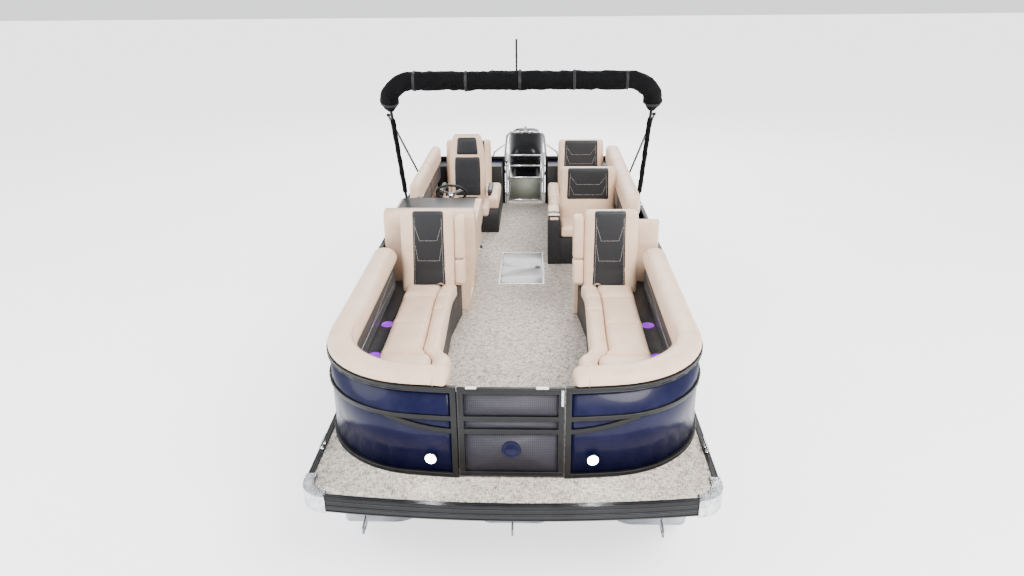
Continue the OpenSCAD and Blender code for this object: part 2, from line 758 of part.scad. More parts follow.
// A closed moulded base from the aisle to the fence
module moulded_base(x0, x1, y0, y1, z1) difference() {
    box([x0, y0, gap], [x1, y1, z1]);
    box([x0 + base_wall, y0 + base_wall, base_wall], [x1 - base_wall, y1 - base_wall, z1 - base_wall]);
}

base_out = inner_x - 110;

// Bases under the aft lounge: the seat, and the raised ledge behind the backrest
module aft_base(y) {
    moulded_base(aft_aisle, base_out, y, ledge_y - gap, base_z - gap);
    moulded_base(aft_aisle, base_out, ledge_y, fence_aft - rail - 6, fence_h - 60);
}

arm_x = [aft_aisle - 25, aft_aisle + 100];

// Port base, with an arm at the front that holds a cup
module port_aft_base() color("#4A4C50") at_bow() {
    aft_base(mid_back_y);
    moulded_base(arm_x[1] + gap, base_out, aft_y + 6, mid_back_y - gap, base_z - gap);
    cup = [(arm_x[0] + arm_x[1]) / 2, aft_y + 110, seat_h + 60];
    difference() {
        union() {
            moulded_base(arm_x[0], arm_x[1], aft_y, mid_back_y - gap, seat_h + 140);
            translate(cup - [0, 0, 10]) cylinder(r = cup_r + 4, h = 85);
        }
        translate(cup) cylinder(r = cup_r, h = 100);
    }
}

module starboard_aft_base() color("#4A4C50") mirror([1, 0, 0]) at_bow() aft_base(star_y);

// Seat cushions: the forward-facing seat and the lounges on each side
module aft_cushions() color("#D9C7B4") at_bow() {
    box([arm_x[1] + 8, aft_y + 14, base_z], [seat_side, mid_back_y - gap, seat_h]);
    box([aft_aisle, mid_back_y + 150, base_z], [seat_side, ledge_y - 180, seat_h + 20]);
    mirror([1, 0, 0]) box([aft_aisle, star_y, base_z], [seat_side, ledge_y - 180, seat_h + 20]);
}

// Backrests: behind the forward-facing seat, and across the stern on each side
module aft_backrests() color("#D9C7B4") at_bow() {
    side_profile(aft_aisle + 110, seat_side + 20) lean(mid_back_y, base_z, seat_h + 550, 140, 30);
    both() side_profile(aft_aisle + 130, seat_side) lean(ledge_y - 178, base_z, seat_h + 550, 160, 60);
}

bolster_in = 232;                       // width of the aft side bolsters from the fence

// Tall side bolsters along the fence, standing on panels down to the deck
module aft_bolsters() color("#D9C7B4") at_bow() {
    box([inner_x - bolster_in + 30, side_gate_end + 80, seat_h + 40],
        [inner_x - 40, ledge_y - 60, fence_h + 230]);
    mirror([1, 0, 0])
        box([inner_x - bolster_in + 72, lounge_l + 1300, seat_h + 40],
            [inner_x - 40, ledge_y - 60, fence_h + 230]);
    box([inner_x - 100, side_gate_end + 90, gap], [inner_x - 60, ledge_y - 70, seat_h + 40]);
    mirror([1, 0, 0])
        box([inner_x - 100, lounge_l + 1310, gap], [inner_x - 60, ledge_y - 70, seat_h + 40]);
}

// ---------- floor hatch ----------

hatch_x = 235;
hatch_front = lounge_l + 670;
hatch_l = 950;
tub_d = 96;
hatch_hinge_x = -hatch_x + 24;

// Frame flush with the deck, with a ledge under the lid and a shallow tub
module hatch_frame() color("#E9EAEC") at_bow() {
    difference() {
        union() {
            box([-hatch_x, hatch_front, -deck_t], [hatch_x, hatch_front + hatch_l, 4]);
            box([-hatch_x + 26, hatch_front + 26, -deck_t - tub_d],
                [hatch_x - 26, hatch_front + hatch_l - 26, -deck_t]);
        }
        box([-hatch_x + 20, hatch_front + 20, -14], [hatch_x - 20, hatch_front + hatch_l - 20, 5]);
        box([-hatch_x + 40, hatch_front + 40, -deck_t - tub_d + 4],
            [hatch_x - 40, hatch_front + hatch_l - 40, 0]);
    }
    hatch_hinge(true);
}

module hatch_hinge(fixed) translate([hatch_hinge_x, hatch_front + hatch_l - 60, 8]) rotate([90, 0, 0])
    hinge(hatch_l - 120, 4, fixed, -6, 14);

// Lid with its hinge along the starboard edge and a latch at the port edge
module hatch_lid() color("#C9CBCD") at_bow() {
    difference() {
        box([hatch_hinge_x + 2, hatch_front + 26, -14 + gap], [hatch_x - 26, hatch_front + hatch_l - 26, 3]);
        translate([hatch_x - 60, hatch_front + hatch_l / 2, -1]) cylinder(r = 24, h = 5);
    }
    translate([hatch_x - 60, hatch_front + hatch_l / 2, -2]) cylinder(r = 18, h = 5);
    hatch_hinge(false);
}

// ---------- canopy ----------

bimini_y = fence_aft - 2305;            // the main bow's hinge
bimini_z = fence_h + 30;
leg_x = half - 78;
brace_x = leg_x + 2 * bow_r + 7;
brace_y = bimini_y + 1185;
brace_joint = bow_l * 0.75;             // along the leg, from its hinge
corner_r = 240;

module at_bimini() translate([0, bimini_y, bimini_z]) rotate([bow_lean, 0, 0]) children();

// The bow's legs, round corners and crossing in X and Z, with a round section r
module bow_path(r, from) {
    both() {
        translate([leg_x, 0, from]) cylinder(r = r, h = bow_l - corner_r - from);
        translate([leg_x - corner_r, 0, bow_l - corner_r]) rotate([90, 0, 0])
            rotate_extrude(angle = 90, $fn = 64) translate([corner_r, 0]) circle(r = r, $fn = 32);
    }
    translate([0, 0, bow_l]) rotate([0, 90, 0])
        cylinder(r = r, h = 2 * (leg_x - corner_r), center = true);
}

// Main bow, the braces' jaw pins and the light pole on the crossing
module bimini_bow() color("#25262A") at_bow() {
    jaw_l = brace_x - 12.5 - leg_x;
    at_bimini() difference() {
        union() {
            bow_path(bow_r, 0);
            both() translate([leg_x, 0, 0]) rotate([0, 90, 0]) cylinder(r = 20, h = 22, center = true);
            both() translate([leg_x, 0, brace_joint]) rotate([0, 90, 0]) cylinder(r = 9, h = jaw_l);
        }
        both() translate([leg_x - 40, 0, 0]) rotate([0, 90, 0]) cylinder(r = 5 + hinge_play, h = 80);
    }
    top = bow_point(bow_l);
    translate([light_x, top[1], top[2]]) cylinder(r = 9, h = boot_r + 250);
}

light_x = -30;

// A point on the main bow's plane, at distance w up the leg
function bow_point(w) = [leg_x, bimini_y - w * sin(bow_lean), bimini_z + w * cos(bow_lean)];

// The cover around the folded canopy, hollow for the bow inside
module bimini_boot() color("#15161A") at_bow() difference() {
    at_bimini() difference() {
        bow_path(boot_r, bow_l - corner_r - 90);
        bow_path(bow_r + gap, bow_l - corner_r - 120);
    }
    top = bow_point(bow_l);
    translate([light_x, top[1], top[2]]) cylinder(r = 9 + gap, h = 200);
}

// Rear braces, hinged at the fence and opened at the pins on the main bow
module bimini_braces() color("#25262A") at_bow() both() {
    top = bow_point(brace_joint);
    a = [brace_x, brace_y, bimini_z];
    b = [brace_x, top[1], top[2]];
    difference() {
        union() {
            bar(a, b, 11);
            translate(a) rotate([0, 90, 0]) cylinder(r = 16, h = 20, center = true);
            translate(b) rotate([0, 90, 0]) cylinder(r = 14, h = 24, center = true);
        }
        translate(a - [20, 0, 0]) rotate([0, 90, 0]) cylinder(r = 5 + hinge_play, h = 40);
    }
}

// Hinge brackets of the legs and braces on the fence's top
module bimini_mounts() color("#8B8E92") at_bow() both() {
    z0 = fence_h + gap;
    // main leg: an ear each side of the leg's eye
    difference() {
        union() {
            box([leg_x - 22, bimini_y - 24, z0], [fence_x - 2, bimini_y + 24, z0 + 7]);
            box([leg_x - 22, bimini_y - 14, z0], [leg_x - 15, bimini_y + 14, bimini_z + 12]);
            box([leg_x + 15, bimini_y - 14, z0], [leg_x + 22, bimini_y + 14, bimini_z + 12]);
        }
        translate([leg_x, bimini_y, bimini_z]) rotate([0, 90, 0]) cylinder(r = 26, h = 23, center = true);
    }
    translate([leg_x - 22, bimini_y, bimini_z]) rotate([0, 90, 0]) cylinder(r = 5, h = 44);
    box([brace_x - 20, brace_y - 22, z0], [brace_x + 13, brace_y + 22, z0 + 6]);
    box([brace_x - 20, brace_y - 12, z0], [brace_x - 13, brace_y + 12, bimini_z + 12]);
    translate([brace_x - 20, brace_y, bimini_z]) rotate([0, 90, 0]) cylinder(r = 5, h = 33);
}

// ---------- stern ----------

arch_y = fence_aft + 290;
arch_top = 900;

arch_x = 245;
arch_splay = 6;                 // outward lean of the legs
arch_lean = 3.8;                // aft lean of the arch
arch_bend = 90;
arch_r = 16;

// A point on the tow arch's port leg at height z
function leg_point(z) =
    [arch_x + (arch_top - z) * tan(arch_splay), arch_y + (arch_top - z) * tan(arch_lean), z];
function mirror_x(p) = [-p[0], p[1], p[2]];

// The arch with its rung and stays, cut flat on the deck
module tow_arch() {
    knee = leg_point(430);
    flat_x = arch_x - arch_bend * tan(45 - arch_splay / 2);
    stay_foot = [150, arch_y + 70, 0];
    side_bend = [430, arch_y + 130, 600];
    side_foot = [620, arch_y + 400, 0];
    difference() {
        union() {
            translate([0, arch_y, arch_top]) rotate([arch_lean, 0, 0]) {
                rotate([0, 90, 0]) cylinder(r = arch_r - 0.4, h = 2 * flat_x + 8, center = true);
                both() {
                    translate([flat_x, 0, -arch_bend]) {
                        rotate([90, 0, 0]) rotate([0, 0, arch_splay])
                            rotate_extrude(angle = 90 - arch_splay, $fn = 64)
                            translate([arch_bend, 0]) circle(r = arch_r);
                        rotate([0, 180 - arch_splay, 0]) translate([-arch_bend, 0, 0])
                            cylinder(r = arch_r, h = arch_top);
                    }
                }
            }
            bar(mirror_x(knee), knee, 11);
            both() {
                bar(knee - [0, 0, 30], 1.1 * stay_foot - 0.1 * (knee - [0, 0, 30]), 11);
                pipe([leg_point(arch_top - 160), side_bend, 1.1 * side_foot - 0.1 * side_bend], 13);
                for (p = [leg_point(0), stay_foot, side_foot]) translate(p) cylinder(r = 32, h = 6);
            }
            translate([0, arch_y, arch_top]) cylinder(r = 26, h = 22);
            translate([0, arch_y, arch_top]) cylinder(r = 15, h = 77);
        }
        box([-1000, arch_y - 200, -200], [1000, arch_y + 700, gap]);
    }
}

// Tow arch with its braces, the two stern gate posts and a tow pin
module stern_rails() color("#C9CCD0") at_bow() {
    both() translate([stern_post[0], stern_post[1], 0]) cylinder(r = stern_tube_r, h = fence_h + 50);
    both() translate([stern_post[0], stern_post[1], gap])
        cylinder(r = stern_post_x - stern_post[0] - 2, h = 6);
    tow_arch();
    // hinge brackets of the boarding ladder, on the aft trim
    for (x = [ladder_x[0] - 30, ladder_x[1] + 22]) {
        box([x, deck_l - 40, 5 + gap], [x + 8, ladder_y + 14, ladder_z + 14]);
        box([x - 6, deck_l - 60, 5 + gap], [x + 14, deck_l - 4, 12]);
    }
    for (x = [ladder_x[0] - 30, ladder_x[1] - 12]) translate([x, ladder_y, ladder_z]) rotate([0, 90, 0])
        cylinder(r = 6, h = 42);
}

ladder_x = [-1180, -820];
ladder_l = 760;
ladder_y = deck_l + 26;
ladder_z = 34;

// Boarding ladder, folded onto the starboard platform
module ladder() color("#C9CCD0") at_bow() difference() {
    end = ladder_y - ladder_l;
    union() {
        for (x = ladder_x) translate([x, ladder_y, ladder_z]) rotate([0, 90, 0])
            cylinder(r = 17, h = 26, center = true);
        pipe([[ladder_x[0], ladder_y, ladder_z], [ladder_x[0], end, ladder_z],
              [ladder_x[1], end, ladder_z], [ladder_x[1], ladder_y, ladder_z]], 12);
        for (i = [1 : 3]) box([ladder_x[0], ladder_y - ladder_l * i / 4 - 22, ladder_z - 5],
                              [ladder_x[1], ladder_y - ladder_l * i / 4 + 22, ladder_z + 5]);
    }
    translate([ladder_x[0] - 50, ladder_y, ladder_z]) rotate([0, 90, 0])
        cylinder(r = 6 + hinge_play, h = 500);
}

// ---------- motor ----------

tilt_y = deck_l + 80;
tilt_z = -40;
steer_y = 130;                  // steering axis aft of the tilt axis
kingpin_r = 20;
transom_y = deck_l + 30;        // aft face of the transom
pod_top = -175;

module tilted() translate([0, tilt_y, tilt_z]) rotate([rest_tilt, 0, 0]) children();

// Pod behind the middle tube, its transom, and the clamp bracket with the tilt axis's pin
module motor_pod() color("#A9ADB1") at_bow() {
    low = tube_z - tube_d / 2 + 160;
    w = base_wall;
    difference() {
        side_profile(-230, 230) polygon([[tube_end + gap, pod_top], [transom_y, pod_top],
            [transom_y, low + 90], [tube_end + 200, low], [tube_end + gap, low]]);
        side_profile(-230 + w, 230 - w) polygon([[tube_end + w, pod_top - w], [transom_y - 40, pod_top - w],
            [transom_y - 40, low + 90 + w], [tube_end + 200, low + w], [tube_end + w, low + w]]);
    }
    box([-200, transom_y - 40, pod_top - 1], [200, transom_y, tilt_z - 60]);
    box([-160, transom_y - 1, low + 130], [160, tilt_y - 35, tilt_z - 22]);
    both() side_profile(136, 156) polygon([[tilt_y - 36, low + 130], [tilt_y + 6, low + 160],
        [tilt_y + 34, tilt_z - 30], [tilt_y + 34, tilt_z + 26], [tilt_y + 14, tilt_z + 35],
        [tilt_y - 30, tilt_z + 30], [tilt_y - 36, tilt_z + 10]]);
    translate([0, tilt_y, tilt_z]) rotate([0, 90, 0]) cylinder(r = 12, h = 300, center = true);
}

// Swivel bracket: a boss on the tilt pin and the tube the motor steers in
module swivel_bracket() color("#1A1B1E") at_bow() tilted() difference() {
    union() {
        rotate([0, 90, 0]) cylinder(r = 29, h = 250, center = true);
        box([-60, 0, -60], [60, steer_y, 22]);
        translate([0, steer_y, -330]) cylinder(r = 42, h = 360);
        box([-16, 20, -250], [16, steer_y, -50]);
    }
    rotate([0, 90, 0]) cylinder(r = 12 + hinge_play, h = 300, center = true);
    translate([0, steer_y, -340]) cylinder(r = kingpin_r, h = 400);
}

pan_z = 70;
cowl_z = [pan_z + 30, pan_z + 640];

// Midsection with the kingpin, the gearcase and the skeg, and the engine's block on top
module motor_leg() color("#1A1B1E") at_bow() tilted() {
    plate_z = prop_r + 20 - shaft_l;
    translate([0, steer_y, -345]) cylinder(r = kingpin_r - hinge_play, h = pan_z + 355);
    box([-60, steer_y - 35, 37], [60, steer_y + 140, pan_z + 5]);
    box([-45, steer_y - 30, -372], [45, steer_y + 120, -337]);
    // adapter pan under the cowl
    slab(pan_z, cowl_z[0] - gap) hull() {
        for (s = [-1, 1]) {
            translate([s * 130, -10]) circle(r = 50, $fn = 32);
            translate([s * 120, 490]) circle(r = 70, $fn = 32);
        }
    }
    // midsection narrows to the ventilation plate
    hull() {
        slab(pan_z - 1, pan_z) translate([0, steer_y + 160]) square([170, 210], center = true);
        slab(plate_z, plate_z + 1) translate([0, steer_y + 150]) square([90, 170], center = true);
    }
    slab(plate_z - 10, plate_z + 1) hull() {
        translate([0, steer_y + 60]) circle(r = 60, $fn = 32);
        translate([0, steer_y + 360]) circle(r = 110, $fn = 32);
    }
    // strut, torpedo and skeg
    slab(-shaft_l, plate_z - 9) polygon([[0, steer_y + 20], [28, steer_y + 110], [24, steer_y + 220],
        [0, steer_y + 330], [-24, steer_y + 220], [-28, steer_y + 110]]);
    translate([0, steer_y, -shaft_l]) rotate([-90, 0, 0]) {
        translate([0, 0, 60]) cylinder(r = 62, h = 230);
        translate([0, 0, 60]) sphere(r = 62);
        translate([0, 0, 290]) cylinder(r1 = 62, r2 = 50, h = 70);
        translate([0, 0, 200]) cylinder(r = 12, h = 290);
    }
    side_profile(-6, 6) polygon([[steer_y + 80, -shaft_l - 40], [steer_y + 330, -shaft_l - 40],
        [steer_y + 300, -shaft_l - prop_r + 5], [steer_y + 220, -shaft_l - prop_r + 5]]);
    box([-140, steer_y - 60, cowl_z[0] - 31], [140, steer_y + 280, cowl_z[1] - 180]);
}

// Rounded cowl, drawn as the space between two hulls of spheres
module cowl_hull(r) hull() for (s = [-1, 1]) {
    for (y = [10, 500]) translate([s * 140, y, cowl_z[0] + 60]) sphere(r = r, $fn = 24);
    for (y = [20, 510]) translate([s * 160, y, cowl_z[0] + 330]) sphere(r = r, $fn = 24);
    for (y = [110, 470]) translate([s * 90, y, cowl_z[1] - 90]) sphere(r = r, $fn = 24);
}

module cowl() color("#101114") at_bow() tilted() difference() {
    cowl_hull(90);
    cowl_hull(84);
    translate([-400, -400, cowl_z[0] - 400]) cube([800, 1400, 400]);
}

// Propeller with three pitched blades on the shaft
module propeller() color("#B4B7BB") at_bow() tilted() translate([0, steer_y + 362, -shaft_l])
rotate([-90, 0, 0]) {
    difference() {
        union() {
            cylinder(r1 = 52, r2 = 44, h = 110);
            for (a = [0 : 120 : 240]) rotate([0, 0, a + 30])
                translate([prop_r * 0.6, 0, 55]) rotate([32, 0, 0])
                cylinder(r = prop_r * 0.4, h = 7, center = true);
        }
        translate([0, 0, -1]) cylinder(r = 12 + hinge_play, h = 120);
    }
}

port_tube();
centre_tube();
starboard_tube();
underframe();
deck();
deck_trim();
corner_castings();
cleats();
port_bow_fence();
starboard_bow_fence();
port_aft_fence();
starboard_aft_fence();
bow_panels();
aft_panels();
docking_lights();
bow_gate_frame();
bow_gate_mesh();
side_gate_frame();
side_gate_panel();
stern_gate_frame();
stern_gate_mesh();
port_bow_base();
starboard_bow_base();
bow_cushions();
port_seat_lid();
starboard_seat_lid();
bow_backrests();
port_bow_bolster();
starboard_bow_bolster();
port_bow_liner();
starboard_bow_liner();
lounge_end();
console();
dash();
steering_wheel();
throttle();
helm_pedestal();
helm_cushion();
helm_backrest();
port_aft_base();
starboard_aft_base();
aft_cushions();
aft_backrests();
aft_bolsters();
hatch_frame();
hatch_lid();
bimini_bow();
bimini_boot();
bimini_braces();
bimini_mounts();
stern_rails();
ladder();
motor_pod();
swivel_bracket();
motor_leg();
cowl();
propeller();
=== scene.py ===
"""Pontoon boat on three tubes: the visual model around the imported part.

Run as a script. Each piece of the boat has its own operator, and they are listed in the
sidebar. All sizes in the code are millimetres unless a name says otherwise: x from the
centreline to port, y aft of the bow line and z above the deck.
"""
import math

import bmesh
import bpy
from bpy.props import FloatProperty, FloatVectorProperty, PointerProperty
from mathutils import Matrix, Vector, noise


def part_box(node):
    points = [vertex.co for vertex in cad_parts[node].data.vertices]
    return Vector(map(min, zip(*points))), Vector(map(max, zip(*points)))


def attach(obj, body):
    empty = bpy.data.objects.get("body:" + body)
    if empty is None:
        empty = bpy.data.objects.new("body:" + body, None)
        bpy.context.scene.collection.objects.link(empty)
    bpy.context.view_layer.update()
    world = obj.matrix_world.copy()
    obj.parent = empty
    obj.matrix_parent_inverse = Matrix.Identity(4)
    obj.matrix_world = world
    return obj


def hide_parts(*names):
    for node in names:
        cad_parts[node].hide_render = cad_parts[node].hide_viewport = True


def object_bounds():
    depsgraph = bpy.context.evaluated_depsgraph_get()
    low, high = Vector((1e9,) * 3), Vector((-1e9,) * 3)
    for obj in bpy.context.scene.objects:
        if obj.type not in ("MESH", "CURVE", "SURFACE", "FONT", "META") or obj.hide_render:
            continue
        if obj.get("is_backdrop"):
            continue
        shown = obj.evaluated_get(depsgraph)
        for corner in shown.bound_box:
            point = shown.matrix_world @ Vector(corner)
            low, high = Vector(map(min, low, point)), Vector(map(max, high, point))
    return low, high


bl_info = {
    "name": "Pontoon boat",
    "version": (1, 0, 0),
    "blender": (4, 5, 0),
    "location": "View3D > Sidebar > Boat",
    "description": "Builds a pontoon boat's visual model around its CAD frame",
    "category": "Object",
}

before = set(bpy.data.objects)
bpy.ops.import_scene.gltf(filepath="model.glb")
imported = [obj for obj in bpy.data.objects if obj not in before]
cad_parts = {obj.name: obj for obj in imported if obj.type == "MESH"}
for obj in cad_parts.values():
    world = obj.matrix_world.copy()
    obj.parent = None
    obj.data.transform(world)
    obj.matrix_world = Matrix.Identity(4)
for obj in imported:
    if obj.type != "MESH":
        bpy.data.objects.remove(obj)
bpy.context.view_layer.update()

MM = 0.001
DECK_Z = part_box("deck")[1].z
FRONT_REACH = 220.0
BOW_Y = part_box("deck_trim")[0].y + FRONT_REACH * MM
HALF_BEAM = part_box("deck_trim")[1].x / MM
FENCE_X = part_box("port_bow_fence")[1].x / MM
FENCE_H = (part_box("port_bow_fence")[1].z - DECK_Z) / MM


# ---------- colours and finishes ----------

def linear(hex_colour):
    """A hex sRGB colour as linear red, green and blue."""
    parts = [int(hex_colour[i:i + 2], 16) / 255 for i in (1, 3, 5)]
    return tuple(c / 12.92 if c <= 0.04045 else ((c + 0.055) / 1.055) ** 2.4 for c in parts)


def opaque(hex_colour):
    return (*linear(hex_colour), 1.0)


class BoatLooks(bpy.types.PropertyGroup):
    """Colours and sizes that an owner would choose."""

    seat_colour: FloatVectorProperty(
        name="Seat colour", description="Main colour of the seats' vinyl",
        subtype="COLOR", size=3, min=0, max=1, default=linear("#E6C7AC"))
    inset_colour: FloatVectorProperty(
        name="Inset colour", description="Colour of the seats' dark insets and bases",
        subtype="COLOR", size=3, min=0, max=1, default=linear("#1E2024"))
    panel_colour: FloatVectorProperty(
        name="Panel colour", description="Colour of the fence's painted panels",
        subtype="COLOR", size=3, min=0, max=1, default=linear("#05072C"))
    glow_colour: FloatVectorProperty(
        name="Glow colour", description="Colour of the lit cup rings",
        subtype="COLOR", size=3, min=0, max=1, default=linear("#8A10C8"))
    seat_crown: FloatProperty(
        name="Seat crown", description="How far a cushion's middle stands above its edges",
        default=0.009, min=0, max=0.012, unit="LENGTH")
    stitch_pitch: FloatProperty(
        name="Stitch pitch", description="Distance from one stitch to the next",
        default=0.012, min=0.006, max=0.03, unit="LENGTH")
    cover_fold: FloatProperty(
        name="Cover folds", description="Depth of the folds in the canopy's cover",
        default=0.012, min=0, max=0.02, unit="LENGTH")


def looks():
    return bpy.context.scene.boat_looks


def add(tree, kind, inputs=None, **settings):
    """Adds a node of one kind to a tree, with its settings and its inputs set or linked."""
    made = tree.nodes.new(kind)
    for key, value in settings.items():
        setattr(made, key, value)
    for key, value in (inputs or {}).items():
        if isinstance(value, bpy.types.NodeSocket):
            tree.links.new(value, made.inputs[key])
        else:
            made.inputs[key].default_value = value
    return made


def new_finish(name, **shader):
    """A material with a shader whose even values are set on its own sockets."""
    finish = bpy.data.materials.new(name)
    finish.use_nodes = True
    tree = finish.node_tree
    tree.nodes.clear()
    gloss = add(tree, "ShaderNodeBsdfPrincipled", {k.replace("_", " "): v for k, v in shader.items()})
    add(tree, "ShaderNodeOutputMaterial", {"Surface": gloss.outputs[0]})
    place = add(tree, "ShaderNodeTexCoord").outputs["Object"]
    return tree, gloss, place


def stretched(tree, place, scale, turn=0.0):
    """The place, scaled by three numbers and turned about Z."""
    made = add(tree, "ShaderNodeMapping", {"Vector": place, "Scale": scale, "Rotation": (0, 0, turn)})
    return made.outputs[0]


def cells_per_metre(spacing_mm):
    return 1000.0 / spacing_mm


def spread(tree, factor, low, high, colours):
    """A ramp from the first colour at low to the last at high."""
    ramp = add(tree, "ShaderNodeValToRGB", {"Fac": factor})
    steps = ramp.color_ramp.elements
    steps[0].position, steps[1].position = low, high
    steps[0].color, steps[1].color = colours[0], colours[-1]
    for i, colour in enumerate(colours[1:-1], 1):
        steps.new(low + (high - low) * i / (len(colours) - 1)).color = colour
    return ramp.outputs[0]


def level(tree, factor, low, high):
    """Maps a pattern from 0..1 to low..high."""
    return add(tree, "ShaderNodeMapRange", {"Value": factor, 3: low, 4: high}).outputs[0]


def grain(tree, place, spacing_mm, detail=3.0, rough=0.5):
    return add(tree, "ShaderNodeTexNoise", {"Vector": place, "Scale": cells_per_metre(spacing_mm),
                                            "Detail": detail, "Roughness": rough}).outputs[0]


def relief(tree, gloss, height, depth_mm, strength=1.0):
    bump = add(tree, "ShaderNodeBump", {"Height": height, "Distance": depth_mm * MM, "Strength": strength})
    tree.links.new(bump.outputs[0], gloss.inputs["Normal"])


def blended(tree, factor, first, second, how="MIX"):
    """Mixes two colours, each a socket or a value."""
    return add(tree, "ShaderNodeMix", {0: factor, 6: first, 7: second},
               data_type="RGBA", blend_type=how).outputs[2]


def calculated(tree, operation, first, second):
    return add(tree, "ShaderNodeMath", {0: first, 1: second}, operation=operation).outputs[0]


def upholstery_vinyl(name, colour):
    """Expanded vinyl, embossed with leather grain: soft satin, with faint clouds of tone."""
    tree, gloss, place = new_finish(name, IOR=1.5, Specular_IOR_Level=0.4, Sheen_Weight=0.08)
    clouds = grain(tree, place, 160, 2.0)
    soiled = grain(tree, place, 34, 4.0, 0.6)
    shade = tuple(c * 0.86 for c in colour[:3]) + (1.0,)
    base = spread(tree, clouds, 0.36, 0.66, [shade, (*colour[:3], 1.0)])
    rubbed = tuple(min(1.0, c * 1.07) for c in colour[:3]) + (1.0,)
    tree.links.new(blended(tree, level(tree, soiled, -0.2, 0.75), base, rubbed), gloss.inputs["Base Color"])
    tree.links.new(level(tree, soiled, 0.36, 0.56), gloss.inputs["Roughness"])
    # the emboss is 1.5 mm pebbles, drawn at 5 mm so that they show
    pebbles = add(tree, "ShaderNodeTexVoronoi", {"Vector": place, "Scale": cells_per_metre(5)},
                  feature="SMOOTH_F1").outputs[0]
    folds = grain(tree, place, 70, 3.0)
    emboss = calculated(tree, "MULTIPLY", pebbles, 0.12)
    relief(tree, gloss, calculated(tree, "ADD", emboss, folds), 2.6, 0.7)


def woven_vinyl():
    """Woven vinyl floor: flat strands 2 mm wide, drawn at 5 mm, in close tones of grey-beige."""
    tree, gloss, place = new_finish("woven_vinyl_flooring", IOR=1.5, Specular_IOR_Level=0.3)
    strand = cells_per_metre(5)
    warp = add(tree, "ShaderNodeTexNoise", {"Vector": stretched(tree, place, (strand, strand / 7, 1)),
                                            "Scale": 1.0, "Detail": 1.5}).outputs[0]
    weft = add(tree, "ShaderNodeTexNoise", {"Vector": stretched(tree, place, (strand / 7, strand, 1)),
                                            "Scale": 1.0, "Detail": 1.5}).outputs[0]
    knots = grain(tree, place, 45, 3.0, 0.7)
    over = add(tree, "ShaderNodeTexChecker", {"Vector": place, "Scale": strand}).outputs[1]
    either = calculated(tree, "ADD", calculated(tree, "MULTIPLY", warp, 0.5),
                        calculated(tree, "MULTIPLY", weft, 0.5))
    lumps = calculated(tree, "MULTIPLY", calculated(tree, "SUBTRACT", knots, 0.5), 0.3)
    tone = calculated(tree, "ADD", either, lumps)
    base = spread(tree, tone, 0.36, 0.60,
                  [opaque("#6A625B"), opaque("#978E84"), opaque("#B9B0A5"), opaque("#D6CEC3")])
    tree.links.new(base, gloss.inputs["Base Color"])
    tree.links.new(level(tree, warp, 0.5, 0.75), gloss.inputs["Roughness"])
    relief(tree, gloss, calculated(tree, "ADD", either, calculated(tree, "MULTIPLY", over, 0.15)), 1.5, 0.8)


def brushed_metal(name, hex_colour, roughness, along, spacing_mm=6, depth_mm=0.25, scuff=0.12):
    """Bright metal with fine lines along one direction and dull water marks."""
    tree, gloss, place = new_finish(name, Metallic=1.0)
    scale = [cells_per_metre(spacing_mm)] * 3
    scale["XYZ".index(along)] /= 40
    lines = add(tree, "ShaderNodeTexNoise", {"Vector": stretched(tree, place, scale), "Scale": 1.0,
                                             "Detail": 2.0}).outputs[0]
    marks = grain(tree, place, 130, 4.0, 0.6)
    colour = opaque(hex_colour)
    dull = tuple(c * 0.72 for c in colour[:3]) + (1.0,)
    tree.links.new(spread(tree, marks, 0.35, 0.62, [dull, colour]), gloss.inputs["Base Color"])
    worn = calculated(tree, "ADD", level(tree, lines, roughness - 0.06, roughness + 0.06),
                      level(tree, marks, scuff, -scuff))
    tree.links.new(worn, gloss.inputs["Roughness"])
    relief(tree, gloss, lines, depth_mm, 0.5)


def coated_metal(name, hex_colour, roughness, metallic=0.0, coat=0.0, peel_mm=9, depth_mm=0.25, sheen=0.5):
    """Metal under a coloured coating, with the coating's slow ripple and dust in its dull places."""
    tree, gloss, place = new_finish(name, Metallic=metallic, IOR=1.5, Coat_Weight=coat, Coat_Roughness=0.06,
                                   Specular_IOR_Level=sheen)
    ripple = grain(tree, place, peel_mm, 1.0)
    dust = grain(tree, place, 210, 5.0, 0.65)
    colour = linear(hex_colour) if isinstance(hex_colour, str) else tuple(hex_colour)
    dusty = tuple(min(1.0, c * 1.25 + 0.006) for c in colour) + (1.0,)
    tree.links.new(spread(tree, dust, 0.42, 0.72, [(*colour, 1.0), dusty]), gloss.inputs["Base Color"])
    tree.links.new(level(tree, dust, roughness - 0.05, roughness + 0.1), gloss.inputs["Roughness"])
    relief(tree, gloss, ripple, depth_mm, 0.35)


def moulded_plastic(name, colour, roughness, texture_mm=4, depth_mm=0.5, coat=0.0):
    """Moulded plastic with the fine orange-skin texture of its mould and faint mottling."""
    tree, gloss, place = new_finish(name, IOR=1.46, Coat_Weight=coat, Coat_Roughness=0.08)
    skin = grain(tree, place, texture_mm, 2.0)
    mottle = grain(tree, place, 90, 4.0)
    shade = tuple(c * 0.85 for c in colour[:3]) + (1.0,)
    tree.links.new(spread(tree, mottle, 0.35, 0.65, [shade, (*colour[:3], 1.0)]), gloss.inputs["Base Color"])
    tree.links.new(level(tree, mottle, roughness + 0.08, roughness - 0.06), gloss.inputs["Roughness"])
    relief(tree, gloss, skin, depth_mm, 0.5)


